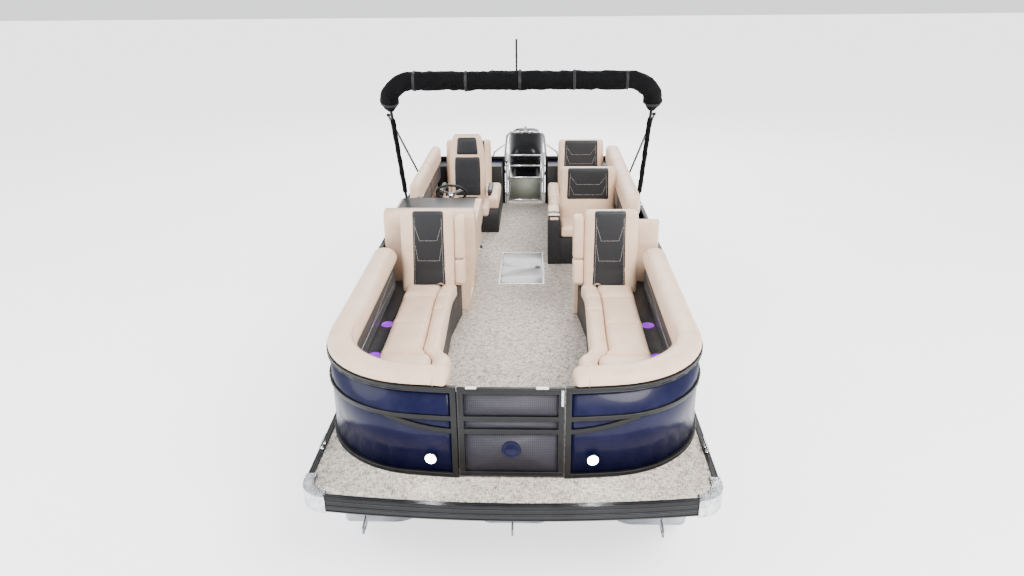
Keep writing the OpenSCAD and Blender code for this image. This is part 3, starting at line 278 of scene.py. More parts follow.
def hammered_chrome():
    """Cast zinc, chromed over a hammered pattern of 8 mm dimples."""
    tree, gloss, place = new_finish("chromed_zinc_hammered", Metallic=1.0)
    dimples = add(tree, "ShaderNodeTexVoronoi", {"Vector": place, "Scale": cells_per_metre(9)}).outputs[0]
    haze = grain(tree, place, 40, 3.0)
    plate = spread(tree, haze, 0.3, 0.7, [opaque("#A9ACB0"), opaque("#E2E4E7")])
    tree.links.new(plate, gloss.inputs["Base Color"])
    tree.links.new(level(tree, haze, 0.08, 0.24), gloss.inputs["Roughness"])
    relief(tree, gloss, dimples, 3.0, 0.9)


def vinyl_mesh(name, hex_thread, hex_gap):
    """PVC-coated mesh of 3 mm threads, drawn at 6 mm: a flat grey weave with dark holes."""
    tree, gloss, place = new_finish(name, IOR=1.5, Roughness=0.6)
    pitch = cells_per_metre(6)
    rows = [add(tree, "ShaderNodeTexWave", {"Vector": place, "Scale": pitch / 6.283, "Distortion": 0.2},
                bands_direction=d).outputs[1] for d in ("X", "Z")]
    weave = calculated(tree, "MAXIMUM", rows[0], rows[1])
    faded = grain(tree, place, 120, 3.0)
    tone = calculated(tree, "ADD", calculated(tree, "MULTIPLY", weave, 0.7),
                      calculated(tree, "MULTIPLY", faded, 0.3))
    threads = spread(tree, tone, 0.25, 0.8, [opaque(hex_gap), opaque(hex_thread)])
    tree.links.new(threads, gloss.inputs["Base Color"])
    relief(tree, gloss, weave, 1.2, 0.6)


def canvas_acrylic():
    """Woven acrylic canvas, black: matte, with a fine weave and folds, painted darker in the folds' hollows
    and lighter on their crests.
    """
    tree, gloss, place = new_finish("woven_acrylic_canvas", IOR=1.45, Specular_IOR_Level=0.12)
    weave = grain(tree, place, 4, 2.0)
    folds = grain(tree, stretched(tree, place, (1, 2.2, 2.2)), 60, 4.0, 0.6)
    # painted shade: the colour follows the folds' relief, darker in their hollows and lighter on their
    # crests
    cloth = spread(tree, folds, 0.38, 0.7, [opaque("#020203"), opaque("#08090B")])
    tree.links.new(cloth, gloss.inputs["Base Color"])
    tree.links.new(level(tree, folds, 0.7, 0.95), gloss.inputs["Roughness"])
    relief(tree, gloss, calculated(tree, "ADD", folds, calculated(tree, "MULTIPLY", weave, 0.1)), 9.0, 0.8)


def lamp_light(name, colour, strength):
    """A clear moulded lens with a lamp behind it, uneven where the diffuser is thin."""
    tree, gloss, place = new_finish(name, IOR=1.49, Roughness=0.15, Coat_Weight=0.5,
                                    Emission_Strength=strength)
    facets = add(tree, "ShaderNodeTexVoronoi", {"Vector": place, "Scale": cells_per_metre(7)}).outputs[0]
    dim = tuple(c * 0.6 for c in colour) + (1.0,)
    lit = spread(tree, facets, 0.1, 0.8, [(*colour, 1.0), dim])
    tree.links.new(lit, gloss.inputs["Base Color"])
    tree.links.new(lit, gloss.inputs["Emission Color"])
    relief(tree, gloss, facets, 1.0, 0.5)


def finish(name):
    """A material made earlier, by name."""
    return bpy.data.materials[name]


def make_finishes():
    look = looks()
    upholstery_vinyl("embossed_vinyl_tan", look.seat_colour)
    upholstery_vinyl("embossed_vinyl_charcoal", look.inset_colour)
    woven_vinyl()
    brushed_metal("rolled_aluminium_tube", "#83878D", 0.36, "Y")
    brushed_metal("extruded_aluminium", "#7E8287", 0.42, "X", 8)
    brushed_metal("polished_stainless", "#D3D6D9", 0.14, "Z", 10, 0.1, 0.05)
    brushed_metal("bright_trim_strip", "#C8CACD", 0.22, "X", 6, 0.1, 0.06)
    coated_metal("anodised_aluminium_black", "#030304", 0.4, peel_mm=5, sheen=0.3)
    # painted highlight: a lighter, shinier copy of the black anodised finish, for thin lines along black
    # parts' edges and ribs
    coated_metal("anodised_aluminium_edge", "#3A3C40", 0.3, metallic=0.6, peel_mm=5)
    coated_metal("enamelled_aluminium_navy", tuple(look.panel_colour), 0.3, coat=0.1, peel_mm=14, sheen=0.14)
    coated_metal("cast_aluminium_black", "#040405", 0.34, coat=0.1, peel_mm=6, sheen=0.3)
    coated_metal("lacquered_cowl_black", "#010102", 0.22, coat=0.12, peel_mm=20, depth_mm=0.15, sheen=0.15)
    hammered_chrome()
    moulded_plastic("roto_moulded_charcoal", tuple(c * 0.75 for c in look.inset_colour), 0.5, 3, 0.8)
    moulded_plastic("thermoformed_abs_tan", tuple(c * 0.96 for c in look.seat_colour), 0.38, 6, 0.4)
    moulded_plastic("moulded_abs_black", linear("#030304"), 0.36, 4, 0.3, coat=0.05)
    moulded_plastic("gelcoat_white", linear("#ECECEA"), 0.25, 8, 0.2, coat=0.5)
    moulded_plastic("gelcoat_grey", linear("#8E9092"), 0.34, 10, 0.2, coat=0.25)
    moulded_plastic("stitched_rubber_black", linear("#0A0A0C"), 0.55, 3, 0.6)
    moulded_plastic("polyester_thread_grey", linear("#C9C4BC"), 0.7, 3, 0.3)
    moulded_plastic("polyester_thread_tan", linear("#A8937C"), 0.7, 3, 0.3)
    moulded_plastic("nylon_webbing_tan", linear("#C9AE92"), 0.75, 3, 1.0)
    moulded_plastic("tinted_gauge_glass", linear("#0A0F16"), 0.08, 12, 0.1, coat=0.8)
    vinyl_mesh("coated_mesh_grey", "#37353F", "#101014")
    vinyl_mesh("coated_mesh_stern", "#8C9186", "#4A4E48")
    canvas_acrylic()
    lamp_light("led_lens_white", linear("#F4F7FF"), 60.0)
    lamp_light("led_ring_purple", tuple(look.glow_colour), 1.6)


# ---------- shaping ----------

def at(x, y, z):
    """A point of the boat, from millimetres, as a point of the frame in metres."""
    return Vector((x * MM, BOW_Y + y * MM, DECK_Z + z * MM))


def quarter(count):
    return [math.pi / 2 * i / count for i in range(count + 1)]


def section(a, b, r, across=6, up=2, corner=3):
    """A rounded rectangle's outline, half sizes a and b, from (a, 0) anticlockwise."""
    r = min(r, a * 0.98, b * 0.98)
    top = [(a, (b - r) * i / up) for i in range(up)]
    top += [(a - r + r * math.cos(t), b - r + r * math.sin(t)) for t in quarter(corner)]
    top += [(a - r - 2 * (a - r) * i / across, b) for i in range(1, across)]
    top += [(r - a - r * math.sin(t), b - r + r * math.cos(t)) for t in quarter(corner)]
    top += [(-a, (b - r) * (1 - i / up)) for i in range(1, up + 1)]
    return top + [(x, -y) for x, y in reversed(top[1:-1])]


class Shape:
    """Points and faces of one piece, in metres."""

    def __init__(self):
        self.points, self.faces, self.marks = [], [], []

    def add(self, points, faces, mark=0):
        start = len(self.points)
        self.points += [Vector(p) for p in points]
        self.faces += [tuple(start + i for i in face) for face in faces]
        self.marks += [mark] * len(faces)
        return self

    def skin(self, rings, closed=False, caps="strip", mark=0):
        """Joins rings of equally many points into a closed skin."""
        n, m = len(rings[0]), len(rings)
        points = [p for ring in rings for p in ring]
        faces = []
        for j in range(m if closed else m - 1):
            k = (j + 1) % m
            faces += [(j * n + i, j * n + (i + 1) % n, k * n + (i + 1) % n, k * n + i) for i in range(n)]
        if not closed:
            last = (m - 1) * n
            if caps == "strip":
                for i in range(n // 2):
                    a, b, c, d = i, i + 1, (n - i - 1) % n, (n - i) % n
                    loop = list(dict.fromkeys((a, b, c, d)))
                    faces.append(tuple(reversed(loop)))
                    faces.append(tuple(last + v for v in loop))
            else:
                faces.append(tuple(reversed(range(n))))
                faces.append(tuple(range(last, last + n)))
        return self.add(points, faces, mark)

    def sweep(self, path, outline, up=Vector((0, 0, 1)), closed=False, mark=0, caps="strip"):
        """Carries an outline of (side, height) millimetres along a path of points in metres."""
        rings = []
        for i, p in enumerate(path):
            before = path[i - 1] if i or closed else p
            after = path[(i + 1) % len(path)] if closed or i + 1 < len(path) else p
            heading = (after - before).normalized()
            side = heading.cross(up).normalized()
            top = side.cross(heading)
            rings.append([p + side * x * MM + top * z * MM for x, z in outline])
        return self.skin(rings, closed, caps, mark)

    def rod(self, path, radius, sides=12, closed=False, mark=0, up=Vector((0, 0.02, 1))):
        turn = [2 * math.pi * i / sides for i in range(sides)]
        return self.sweep(path, [(radius * math.cos(t), radius * math.sin(t)) for t in turn],
                          up.normalized(), closed, mark)

    def lathe(self, centre, axis, profile, sides=32, mark=0):
        """Turns a profile of (radius, height) millimetres about an axis."""
        z = Vector(axis).normalized()
        x = z.orthogonal().normalized()
        y = z.cross(x)
        turns = [2 * math.pi * i / sides for i in range(sides)]
        rings = [[centre + z * h * MM + (x * math.cos(t) + y * math.sin(t)) * max(r, 0.01) * MM
                  for t in turns] for r, h in profile]
        return self.skin(rings, caps="fan", mark=mark)

    def slab(self, low, high, r=4, turn=Matrix.Identity(3), centre=None, mark=0):
        """A block with rounded edges between two corners in metres."""
        low, high = Vector(low), Vector(high)
        middle, half = (low + high) / 2, (high - low) / 2
        e = min(r * MM, *(h * 0.9 for h in half))
        rings = []
        for inset, z in ((e, -half.z), (e * 0.3, -half.z + e * 0.3), (0, -half.z + e), (0, half.z - e),
                         (e * 0.3, half.z - e * 0.3), (e, half.z)):
            bend = max(e / MM - inset / MM * 0.4, 0.4)
            ring = section((half.x - inset) / MM, (half.y - inset) / MM, bend, 2, 1, 2)
            rings.append([middle + Vector((x * MM, y * MM, z)) for x, y in ring])
        if centre is not None:
            rings = [[centre + turn @ (p - centre) for p in ring] for ring in rings]
        return self.skin(rings, mark=mark)


def smooth_mesh(mesh, angle=35):
    mesh.polygons.foreach_set("use_smooth", [True] * len(mesh.polygons))
    mesh.set_sharp_from_angle(angle=math.radians(angle))
    mesh.update()


def piece(name, shape, finishes, body="boat", stands_for=(), subdivide=0, angle=35, bevel=0.0):
    """Makes an object of a shape, in its finishes, and sends it with its body."""
    mesh = bpy.data.meshes.new(name)
    mesh.from_pydata(shape.points, [], shape.faces)
    for material in [finishes] if isinstance(finishes, str) else finishes:
        mesh.materials.append(finish(material))
    mesh.polygons.foreach_set("material_index", shape.marks)
    if mesh.validate():
        raise RuntimeError(f"{name} has broken faces")
    outward = bmesh.new()
    outward.from_mesh(mesh)
    bmesh.ops.recalc_face_normals(outward, faces=outward.faces)
    outward.to_mesh(mesh)
    outward.free()
    made = bpy.data.objects.new(name, mesh)
    bpy.context.scene.collection.objects.link(made)
    smooth_mesh(mesh, angle)
    if bevel:
        edge = made.modifiers.new("rounded edges", "BEVEL")
        edge.width, edge.segments, edge.limit_method = bevel * MM, 2, "ANGLE"
    if subdivide:
        finer = made.modifiers.new("finer surface", "SUBSURF")
        finer.levels = finer.render_levels = subdivide
    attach(made, body)
    if stands_for:
        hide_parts(*stands_for)
    return made


def dress(node, material, bevel=0.0, angle=32):
    """Gives a CAD node its finish, and softens its edges."""
    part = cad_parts[node]
    part.data.materials.clear()
    part.data.materials.append(finish(material))
    weld = part.modifiers.new("joined corners", "WELD")
    weld.merge_threshold = 0.00002
    if bevel:
        edge = part.modifiers.new("rounded edges", "BEVEL")
        edge.width, edge.segments, edge.limit_method = bevel * MM, 2, "ANGLE"
        edge.angle_limit = math.radians(angle)
    smooth_mesh(part.data, angle)


def mirrored(points, s):
    return [Vector((p.x * s, p.y, p.z)) for p in points]


def curve_through(points, step=0.02):
    """Points on a smooth curve through the given ones, about a step apart."""
    points = [Vector(p) for p in points]
    made = []
    for i in range(len(points) - 1):
        a, b = points[max(i - 1, 0)], points[i]
        c, d = points[i + 1], points[min(i + 2, len(points) - 1)]
        count = max(1, round((c - b).length / step))
        for k in range(count):
            t = k / count
            made.append(0.5 * ((2 * b) + (c - a) * t + (2 * a - 5 * b + 4 * c - d) * t * t
                               + (3 * b - a - 3 * c + d) * t ** 3))
    return made + [points[-1]]


def bow_line(half_width, corner, front_r, front, start, end, step=30.0, depth=0.0):
    """The port half of an outline with a curved front: points set in by depth, and inward normals."""
    cx = half_width - corner
    k = front_r - corner
    cy = front + front_r - math.sqrt(k * k - cx * cx)
    turn = math.asin(cx / k)
    first = math.asin(start / front_r)
    found = []
    count = max(2, int(front_r * (turn - first) / step))
    for i in range(count):
        a = first + (turn - first) * i / count
        found.append((front_r * math.sin(a), front + front_r - front_r * math.cos(a), a))
    count = max(6, int(corner * (math.pi / 2 - turn) / step))
    for i in range(count):
        a = turn + (math.pi / 2 - turn) * i / count
        found.append((cx + corner * math.sin(a), cy - corner * math.cos(a), a))
    count = max(1, int((end - cy) / step))
    found += [(half_width, cy + (end - cy) * i / count, math.pi / 2) for i in range(count + 1)]
    return [(x - depth * math.sin(a), y + depth * math.cos(a), (-math.sin(a), math.cos(a)))
            for x, y, a in found]


def fence_line(start, end, step=30.0, depth=0.0):
    return bow_line(FENCE_X, 700, 5170, 57, start, end, step, depth)


def along_fence(shape, s, line, outline, end_round=0):
    """Carries an outline of (depth, height) along the fence, its ends rounded over."""
    middle = [sum(p[i] for p in outline) / len(outline) for i in (0, 1)]
    stations = [(line[0], phi, -1) for phi in quarter(4)[:-1]]
    stations += [(p, math.pi / 2, 0) for p in line]
    stations += [(line[-1], phi, 1) for phi in reversed(quarter(4)[:-1])]
    rings = []
    for (x, y, n), phi, way in stations:
        inset, push = end_round * (1 - math.sin(phi)), way * end_round * math.cos(phi)
        ring = []
        for d, z in outline:
            k = 1 - min(inset / (math.hypot(d - middle[0], z - middle[1]) or 1.0), 0.8)
            depth = middle[0] + (d - middle[0]) * k
            ring.append(at(x + n[0] * depth + n[1] * push, y + n[1] * depth - n[0] * push,
                           middle[1] + (z - middle[1]) * k))
        rings.append(mirrored(ring, s))
    return shape.skin(rings, caps="fan")


# ---------- padded work ----------

def pad_rings(run, length, end, step, edge, across, up):
    """Stations of a pad along its length with rounded ends, and each point's place in it."""
    turns = quarter(4)
    stations = [(end * (1 - math.cos(t)), end * (1 - math.sin(t))) for t in turns[:-1]]
    count = max(2, round((length - 2 * end) / step))
    stations += [(end + (length - 2 * end) * i / count, 0.0) for i in range(count + 1)]
    stations += [(length - end * (1 - math.cos(t)), end * (1 - math.sin(t))) for t in reversed(turns[:-1])]
    rings, places = [], []
    for t, inset in stations:
        origin, u, v, a, b = run(t)
        outline = section(a - inset, b - inset, max(edge - inset * 0.5, 4), across, up)
        rings.append([origin + (u * x + v * y) * MM for x, y in outline])
        places += [(t / length, x / a, y / b) for x, y in outline]
    return rings, places


def pad(shape, run, length, end=24, step=26, edge=26, across=8, up=2, crown=1.0, form=None, mark=0):
    """A crowned cushion: run(t) gives its middle, two directions and its half sizes."""
    rings, places = pad_rings(run, length, end, step, edge, across, up)
    first = len(shape.points)
    shape.skin(rings, mark=mark)
    height = looks().seat_crown * crown
    n = len(rings[0])
    for i, (t, p, q) in enumerate(places):
        ring, k = divmod(i, n)
        middle = sum(rings[ring], Vector()) / n
        outward = (rings[ring][k] - middle).normalized()
        v = run(t * length)[2]
        fall = 1 - (2 * t - 1) ** 6
        face = (1 - min(1, abs(p)) ** 3) * fall
        lift = height * face * (1 if q > 0 else 0.25)
        if form:
            lift += form(t, p, q) * MM
        shape.points[first + i] += v * lift * (1 if q >= 0 else -1) if abs(q) > 0.6 else outward * lift * 0.3
    return shape


def puff(made, held, pressure=4.0, cap=0.012, frames=14):
    """Inflates a finished pad as cloth over foam, holding its seams, and keeps the result."""
    mesh = made.data
    rest = [v.co.copy() for v in mesh.vertices]
    group = made.vertex_groups.new(name="seams")
    for i, co in enumerate(rest):
        weight = held(co)
        if weight > 0:
            group.add([i], weight, "REPLACE")
    cloth = made.modifiers.new("inflate", "CLOTH")
    cloth.settings.use_pressure = True
    cloth.settings.uniform_pressure_force = pressure
    cloth.settings.effector_weights.gravity = 0
    cloth.settings.vertex_group_mass = "seams"
    cloth.settings.quality = 4
    cloth.point_cache.frame_start, cloth.point_cache.frame_end = 1, frames
    scene = bpy.context.scene
    for number in range(1, frames + 1):
        scene.frame_set(number)
    shaped = made.evaluated_get(bpy.context.evaluated_depsgraph_get())
    moved = [v.co.copy() for v in shaped.data.vertices]
    made.modifiers.remove(cloth)
    scene.frame_set(1)
    for vertex, start, end in zip(mesh.vertices, rest, moved):
        shift = end - start
        if shift.length > cap:
            shift *= cap / shift.length
        vertex.co = start + shift
    mesh.update()
    return made


def stitches(shape, line, over, out, mark=0, gauge=1.5, share=0.62):
    """Stitches along a line, laid on a piece's surface from the side that out points to."""
    pitch = looks().stitch_pitch
    path = curve_through(line, pitch) if len(line) > 2 else [
        line[0].lerp(line[1], i / max(1, round((line[1] - line[0]).length / pitch)))
        for i in range(max(1, round((line[1] - line[0]).length / pitch)) + 1)]
    out = Vector(out).normalized()
    laid = []
    for p in path:
        hit, place, normal = over.ray_cast(p + out * 0.2, -out, distance=0.5)[:3]
        laid.append((place, normal) if hit else None)
    for a, b in zip(laid, laid[1:]):
        if a is None or b is None or (b[0] - a[0]).length > 2.5 * pitch:
            continue
        start, end = a[0], a[0].lerp(b[0], share)
        heading = (end - start).normalized()
        side = heading.cross(a[1]).normalized() * gauge * MM
        top = a[1] * gauge * MM
        thread = ((1, 0), (0.3, 0.9), (-0.3, 0.9), (-1, 0), (0, -0.6))
        rings = [[p + (side * c + top * s) * k for c, s in thread]
                 for p, k in ((start, 0.5), (start.lerp(end, 0.5), 1.0), (end, 0.5))]
        shape.skin(rings, caps="fan", mark=mark)
    return shape


# ---------- the pieces ----------

TAN, DARK = "embossed_vinyl_tan", "embossed_vinyl_charcoal"
SEAT_OUT = FENCE_X - 287
AISLE = HALF_BEAM - 760
SEAT_TOP, SEAT_LOW = 400.0, 290.0
CORNER_Y = 470.0


def sides():
    return ((1, "port"), (-1, "starboard"))


def inner_edge(y):
    """The bow lounge's edge along the aisle."""
    marks = [(0, AISLE - 90), (900, AISLE - 80), (1100, AISLE + 10), (2070, AISLE + 30), (2620, AISLE - 30)]
    for (y0, x0), (y1, x1) in zip(marks, marks[1:]):
        if y <= y1:
            t = max(0.0, (y - y0) / (y1 - y0))
            return x0 + (x1 - x0) * t * t * (3 - 2 * t)
    return marks[-1][1]


def outer_edge(y):
    """The bow cushion's edge along the shelf and round the front corner."""
    if y > 792:
        return SEAT_OUT
    drop = min(792.5 - y, 408)
    return min(SEAT_OUT, 560 + math.sqrt(415 ** 2 - drop ** 2))


def seam_edge(y):
    """The seam between a bow seat's wide strip and its aisle strip."""
    return inner_edge(y) + 135


def wide_near(y):
    return seam_edge(y) + 3


def strip_far(y):
    return seam_edge(y) - 3


def corner_near(y):
    """The near edge of the wide strip, which meets no aisle strip in the front corner."""
    return wide_near(y) if y > CORNER_Y else inner_edge(y) + 100


def corner_far(y):
    return seam_edge(y) - 4 if y > CORNER_Y else inner_edge(y) + 94


def shelf_edge(_):
    return SEAT_OUT


def seat_strip(s, y0, near, far, low=SEAT_LOW, top=SEAT_TOP):
    """A run for pad() over a bow seat between two edges, from y0 aft."""
    def run(t):
        y = y0 + t
        a, b = near(y), far(y)
        return (at(s * (a + b) / 2, y, (low + top) / 2), Vector((1, 0, 0)), Vector((0, 0, 1)),
                (b - a) / 2, (top - low) / 2)
    return run


class BOAT_OT_finishes(bpy.types.Operator):
    """Makes the materials"""
    bl_idname = "boat.finishes"
    bl_label = "Finishes"

    def execute(self, context):
        make_finishes()
        return {"FINISHED"}


class BOAT_OT_hull(bpy.types.Operator):
    """Finishes the tubes and the frame under the deck, and adds the tubes' welds"""
    bl_idname = "boat.hull"
    bl_label = "Hull"

    def execute(self, context):
        for node in ("port_tube", "centre_tube", "starboard_tube"):
            dress(node, "rolled_aluminium_tube")
            low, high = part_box(node)
            middle = Vector(((low.x + high.x) / 2, 0, high.z - 0.3175))
            welds = Shape()
            for y in (1500, 2900, 4300, 5700, 6690):
                centre = Vector((middle.x, BOW_Y + y * MM, middle.z))
                ring = [centre + Vector((math.cos(t), 0, math.sin(t))) * 0.318
                        for t in (2 * math.pi * i / 64 for i in range(64))]
                welds.rod(ring, 2.6, 6, closed=True, up=Vector((0, 1, 0)))
            piece(node + "_welds", welds, "extruded_aluminium")
        dress("underframe", "extruded_aluminium", 1.5)
        return {"FINISHED"}


def deck_edge(depth):
    """The port half of the deck's edge, set in by depth."""
    return bow_line(HALF_BEAM, 170, 9000, -FRONT_REACH, 0, 7030, 60, depth)


class BOAT_OT_deck(bpy.types.Operator):
    """Finishes the deck, its trim and caps, and adds the trim's ribs and the cleats"""
    bl_idname = "boat.deck"
    bl_label = "Deck"

    def execute(self, context):
        dress("deck", "woven_vinyl_flooring")
        dress("deck_trim", "anodised_aluminium_black", 1.5)
        dress("corner_castings", "chromed_zinc_hammered", 2.0)
        # the ribs are real, but their lighter, shinier copy of the black finish is painted highlight
        ribs = Shape()
        for s in (1, -1):
            front = deck_edge(-1.5)
            for z, r in ((-18, 2.6), (-52, 3.2), (-60, 2.2), (-92, 2.6)):
                ribs.rod(mirrored([at(x, y, z) for x, y, _ in front], s), r, 6)
            for depth in (6, 20, 33):
                line = deck_edge(depth)
                ribs.rod(mirrored([at(x, y, 5) for x, y, _ in line], s), 1.8, 6)
        piece("deck_trim_ribs", ribs, "anodised_aluminium_edge")
        for s, side in sides():
            cleat = Shape()
            for y in (400, 6820):
                x = s * (HALF_BEAM - 21)
                for dy in (-30, 30):
                    cleat.lathe(at(x, y + dy, 5.3), (0, 0, 1),
                                [(15, 0), (15, 3), (9, 7), (7.5, 22), (8, 38)], 20)
                horn = [at(x, y + d, 43 + 3 * (abs(d) / 85) ** 2) for d in range(-85, 86, 10)]
                rings = []
                for i, p in enumerate(horn):
                    k = 1 - 0.55 * abs(2 * i / (len(horn) - 1) - 1) ** 2
                    rings.append([p + Vector((math.cos(t) * 10 * k, 0, math.sin(t) * 8 * k)) * MM
                                  for t in (2 * math.pi * j / 12 for j in range(12))])
                cleat.skin(rings, caps="fan")
            piece(side + "_cleats", cleat, "polished_stainless", subdivide=1,
                  stands_for=("cleats",) if s > 0 else ())
        return {"FINISHED"}


class BOAT_OT_fence(bpy.types.Operator):
    """Finishes the fence's rails and panels and adds their fixings and lines of painted highlight along
    their edges
    """
    bl_idname = "boat.fence"
    bl_label = "Fence"

    def execute(self, context):
        for node in ("port_bow_fence", "starboard_bow_fence", "port_aft_fence", "starboard_aft_fence"):
            dress(node, "anodised_aluminium_black", 2.5)
        for node in ("bow_panels", "aft_panels"):
            dress(node, "enamelled_aluminium_navy")
        # painted highlights: thin lines in a lighter, shinier copy of the black finish along the rails'
        # edges, where light would catch them
        edges = Shape()
        for s in (1, -1):
            for z in (30, 5, FENCE_H - 30, FENCE_H - 4, FENCE_H * 0.645 + 28):
                line = fence_line(368, 2660, 45, 0.2)
                edges.rod(mirrored([at(x, y, z) for x, y, _ in line], s), 1.8, 6)
            far = 2720 if s < 0 else 3445
            for z in (30, FENCE_H - 30):
                edges.rod([at(s * (FENCE_X - 0.2), y, z) for y in range(far, 6080, 120)], 1.8, 6)
        piece("fence_edge_highlights", edges, "anodised_aluminium_edge")
        plugs = Shape()
        for s in (1, -1):
            for x, y, n in fence_line(420, 2600, 260, 0.0):
                foot = at(s * (x + n[0] * 30), y + n[1] * 30, 37)
                plugs.lathe(foot, (0, 0, 1), [(7, -2), (7, 0), (5, 2.4), (0.5, 3)], 12)
        piece("fence_screws", plugs, "polished_stainless")
        return {"FINISHED"}


class BOAT_OT_lamps(bpy.types.Operator):
    """Makes the docking lights and the cup holders with their lit rings"""
    bl_idname = "boat.lamps"
    bl_label = "Lamps"

    def execute(self, context):
        low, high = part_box("docking_lights")
        z = (low.z + high.z) / 2
        turn = math.asin(505 / 5170)
        lens, rims = Shape(), Shape()
        for s in (1, -1):
            x, y = 5170 * math.sin(turn), 57 + 5170 - 5170 * math.cos(turn)
            out = Vector((-math.sin(turn) * -s, -math.cos(turn), 0))
            centre = Vector((s * x * MM, BOW_Y + y * MM, z)) - out * 0.0142
            lens.lathe(centre, out, [(34, 0), (34, 8), (30, 11.5), (18, 13), (0.5, 13.6)], 32)
            rims.lathe(centre, out, [(36.5, 0), (42, 0), (42, 6), (38, 10.5), (34.5, 9), (34.5, 0)], 32)
        piece("docking_lenses", lens, "led_lens_white", stands_for=("docking_lights",))
        piece("docking_rims", rims, "moulded_abs_black")
        rings, wells = Shape(), Shape()
        cups = [(s * (SEAT_OUT + FENCE_X - 175) / 2, y, 330) for s in (1, -1) for y in (1080, 1620)]
        for x, y, z in cups:
            rings.lathe(at(x, y, z), (0, 0, 1),
                        [(43, -3), (41, 2.5), (45, 5.5), (50, 4), (52, 0.5), (49, -0.5)], 36)
            wells.lathe(at(x, y, z - 79), (0, 0, 1),
                        [(0.5, 0), (30, 0), (40, 3), (41, 70), (41.6, 76), (41.9, 70), (41, 1)], 32)
        wells.lathe(at(337.5, 3980, 540), (0, 0, 1),
                    [(41, -70), (41.5, 1), (46, 4), (52, 2.5), (53, 0.2), (49, -0.2)], 36)
        piece("cup_rings", rings, "led_ring_purple")
        piece("cup_wells", wells, "moulded_abs_black")
        return {"FINISHED"}


class BOAT_OT_gates(bpy.types.Operator):
    """Finishes the three gates and adds their catches and pads"""
    bl_idname = "boat.gates"
    bl_label = "Gates"

    def execute(self, context):
        dress("bow_gate_frame", "anodised_aluminium_black", 2.0)
        dress("bow_gate_mesh", "coated_mesh_grey")
        dress("side_gate_frame", "anodised_aluminium_black", 2.0)
        dress("side_gate_panel", "enamelled_aluminium_navy")
        dress("stern_gate_frame", "polished_stainless")
        dress("stern_gate_mesh", "coated_mesh_stern")
        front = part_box("bow_gate_mesh")[0].y - 0.009
        top = DECK_Z + (FENCE_H - 5) * MM
        pads = Shape()
        for x0, x1 in ((-0.272, -0.205), (0.152, 0.228)):
            pads.slab((x0, front + 0.001, top - 0.012), (x1, front + 0.030, top + 0.0035), 2.5)
        piece("gate_corner_pads", pads, "gelcoat_white", body="bow_gate")
        # painted highlights: thin lines in a lighter, shinier copy of the black finish along the edges of
        # the gate's members
        lines = Shape()

        def on_front(x, z):
            return Vector((x * MM, front + 0.0012, DECK_Z + z * MM))
        for z in (18, 45, 325, 352, 415, 441, 602, 630):
            lines.rod([on_front(x, z) for x in (-318, -150, 0, 150, 318)], 1.7, 6)
        for x in (-321, 321):
            lines.rod([on_front(x, z) for z in (16, 200, 400, 631)], 1.7, 6, up=Vector((1, 0, 0)))
        piece("bow_gate_edge_highlights", lines, "anodised_aluminium_edge", body="bow_gate")
        plate = Shape()
        middle = Vector((0, front + 0.0064, DECK_Z + 207 * MM))
        plate.lathe(middle, (0, -1, 0),
                    [(61, -3), (61, 2), (57, 3.5), (52, 2), (44, 1.6), (41, 3), (37, 1.6), (0.5, 1.2)], 40)
        piece("gate_round_plate", plate, "enamelled_aluminium_navy", body="bow_gate")
        catch = Shape()
        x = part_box("bow_gate_frame")[1].x
        catch.slab((x - 0.022, front - 0.004, DECK_Z + 0.520), (x - 0.006, front + 0.002, DECK_Z + 0.632), 2)
        catch.slab((x - 0.020, front - 0.010, DECK_Z + 0.560), (x - 0.008, front - 0.003, DECK_Z + 0.590), 2)
        piece("bow_gate_catch", catch, "polished_stainless", body="bow_gate")
        knob = Shape()
        gate_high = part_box("side_gate_frame")[1]
        knob.slab((gate_high.x - 0.030, gate_high.y - 0.060, DECK_Z + 0.560),
                  (gate_high.x - 0.002, gate_high.y - 0.028, DECK_Z + 0.636), 3)
        piece("side_gate_catch", knob, "polished_stainless", body="side_gate")
        return {"FINISHED"}


def bolster_outline():
    """The rolled bolster's section, as depth from the fence's face and height."""
    knots = [(5, 646), (4, 662), (18, 690), (50, 711), (92, 721), (136, 716), (172, 696), (193, 664),
             (200, 630), (194, 598), (172, 577), (136, 571), (92, 571), (58, 572), (40, 577), (36.5, 604),
             (28, 640)]
    made = []
    for i, p in enumerate(knots):
        q = knots[(i + 1) % len(knots)]
        made += [p, ((p[0] + q[0]) / 2, (p[1] + q[1]) / 2)]
    return made


def held_roll(co):
    """A bow roll's points that are stapled down: its foot, and its back edge on the rail."""
    on_rail = co.z > DECK_Z + 0.7 and abs(co.x) > FENCE_X * MM - 0.03
    return 1.0 if co.z < DECK_Z + 0.60 or on_rail else 0.0


def held_below(height):
    """Holds a cushion's points below a height above the deck, in metres."""
    return lambda co: 1.0 if co.z < DECK_Z + height else 0.0


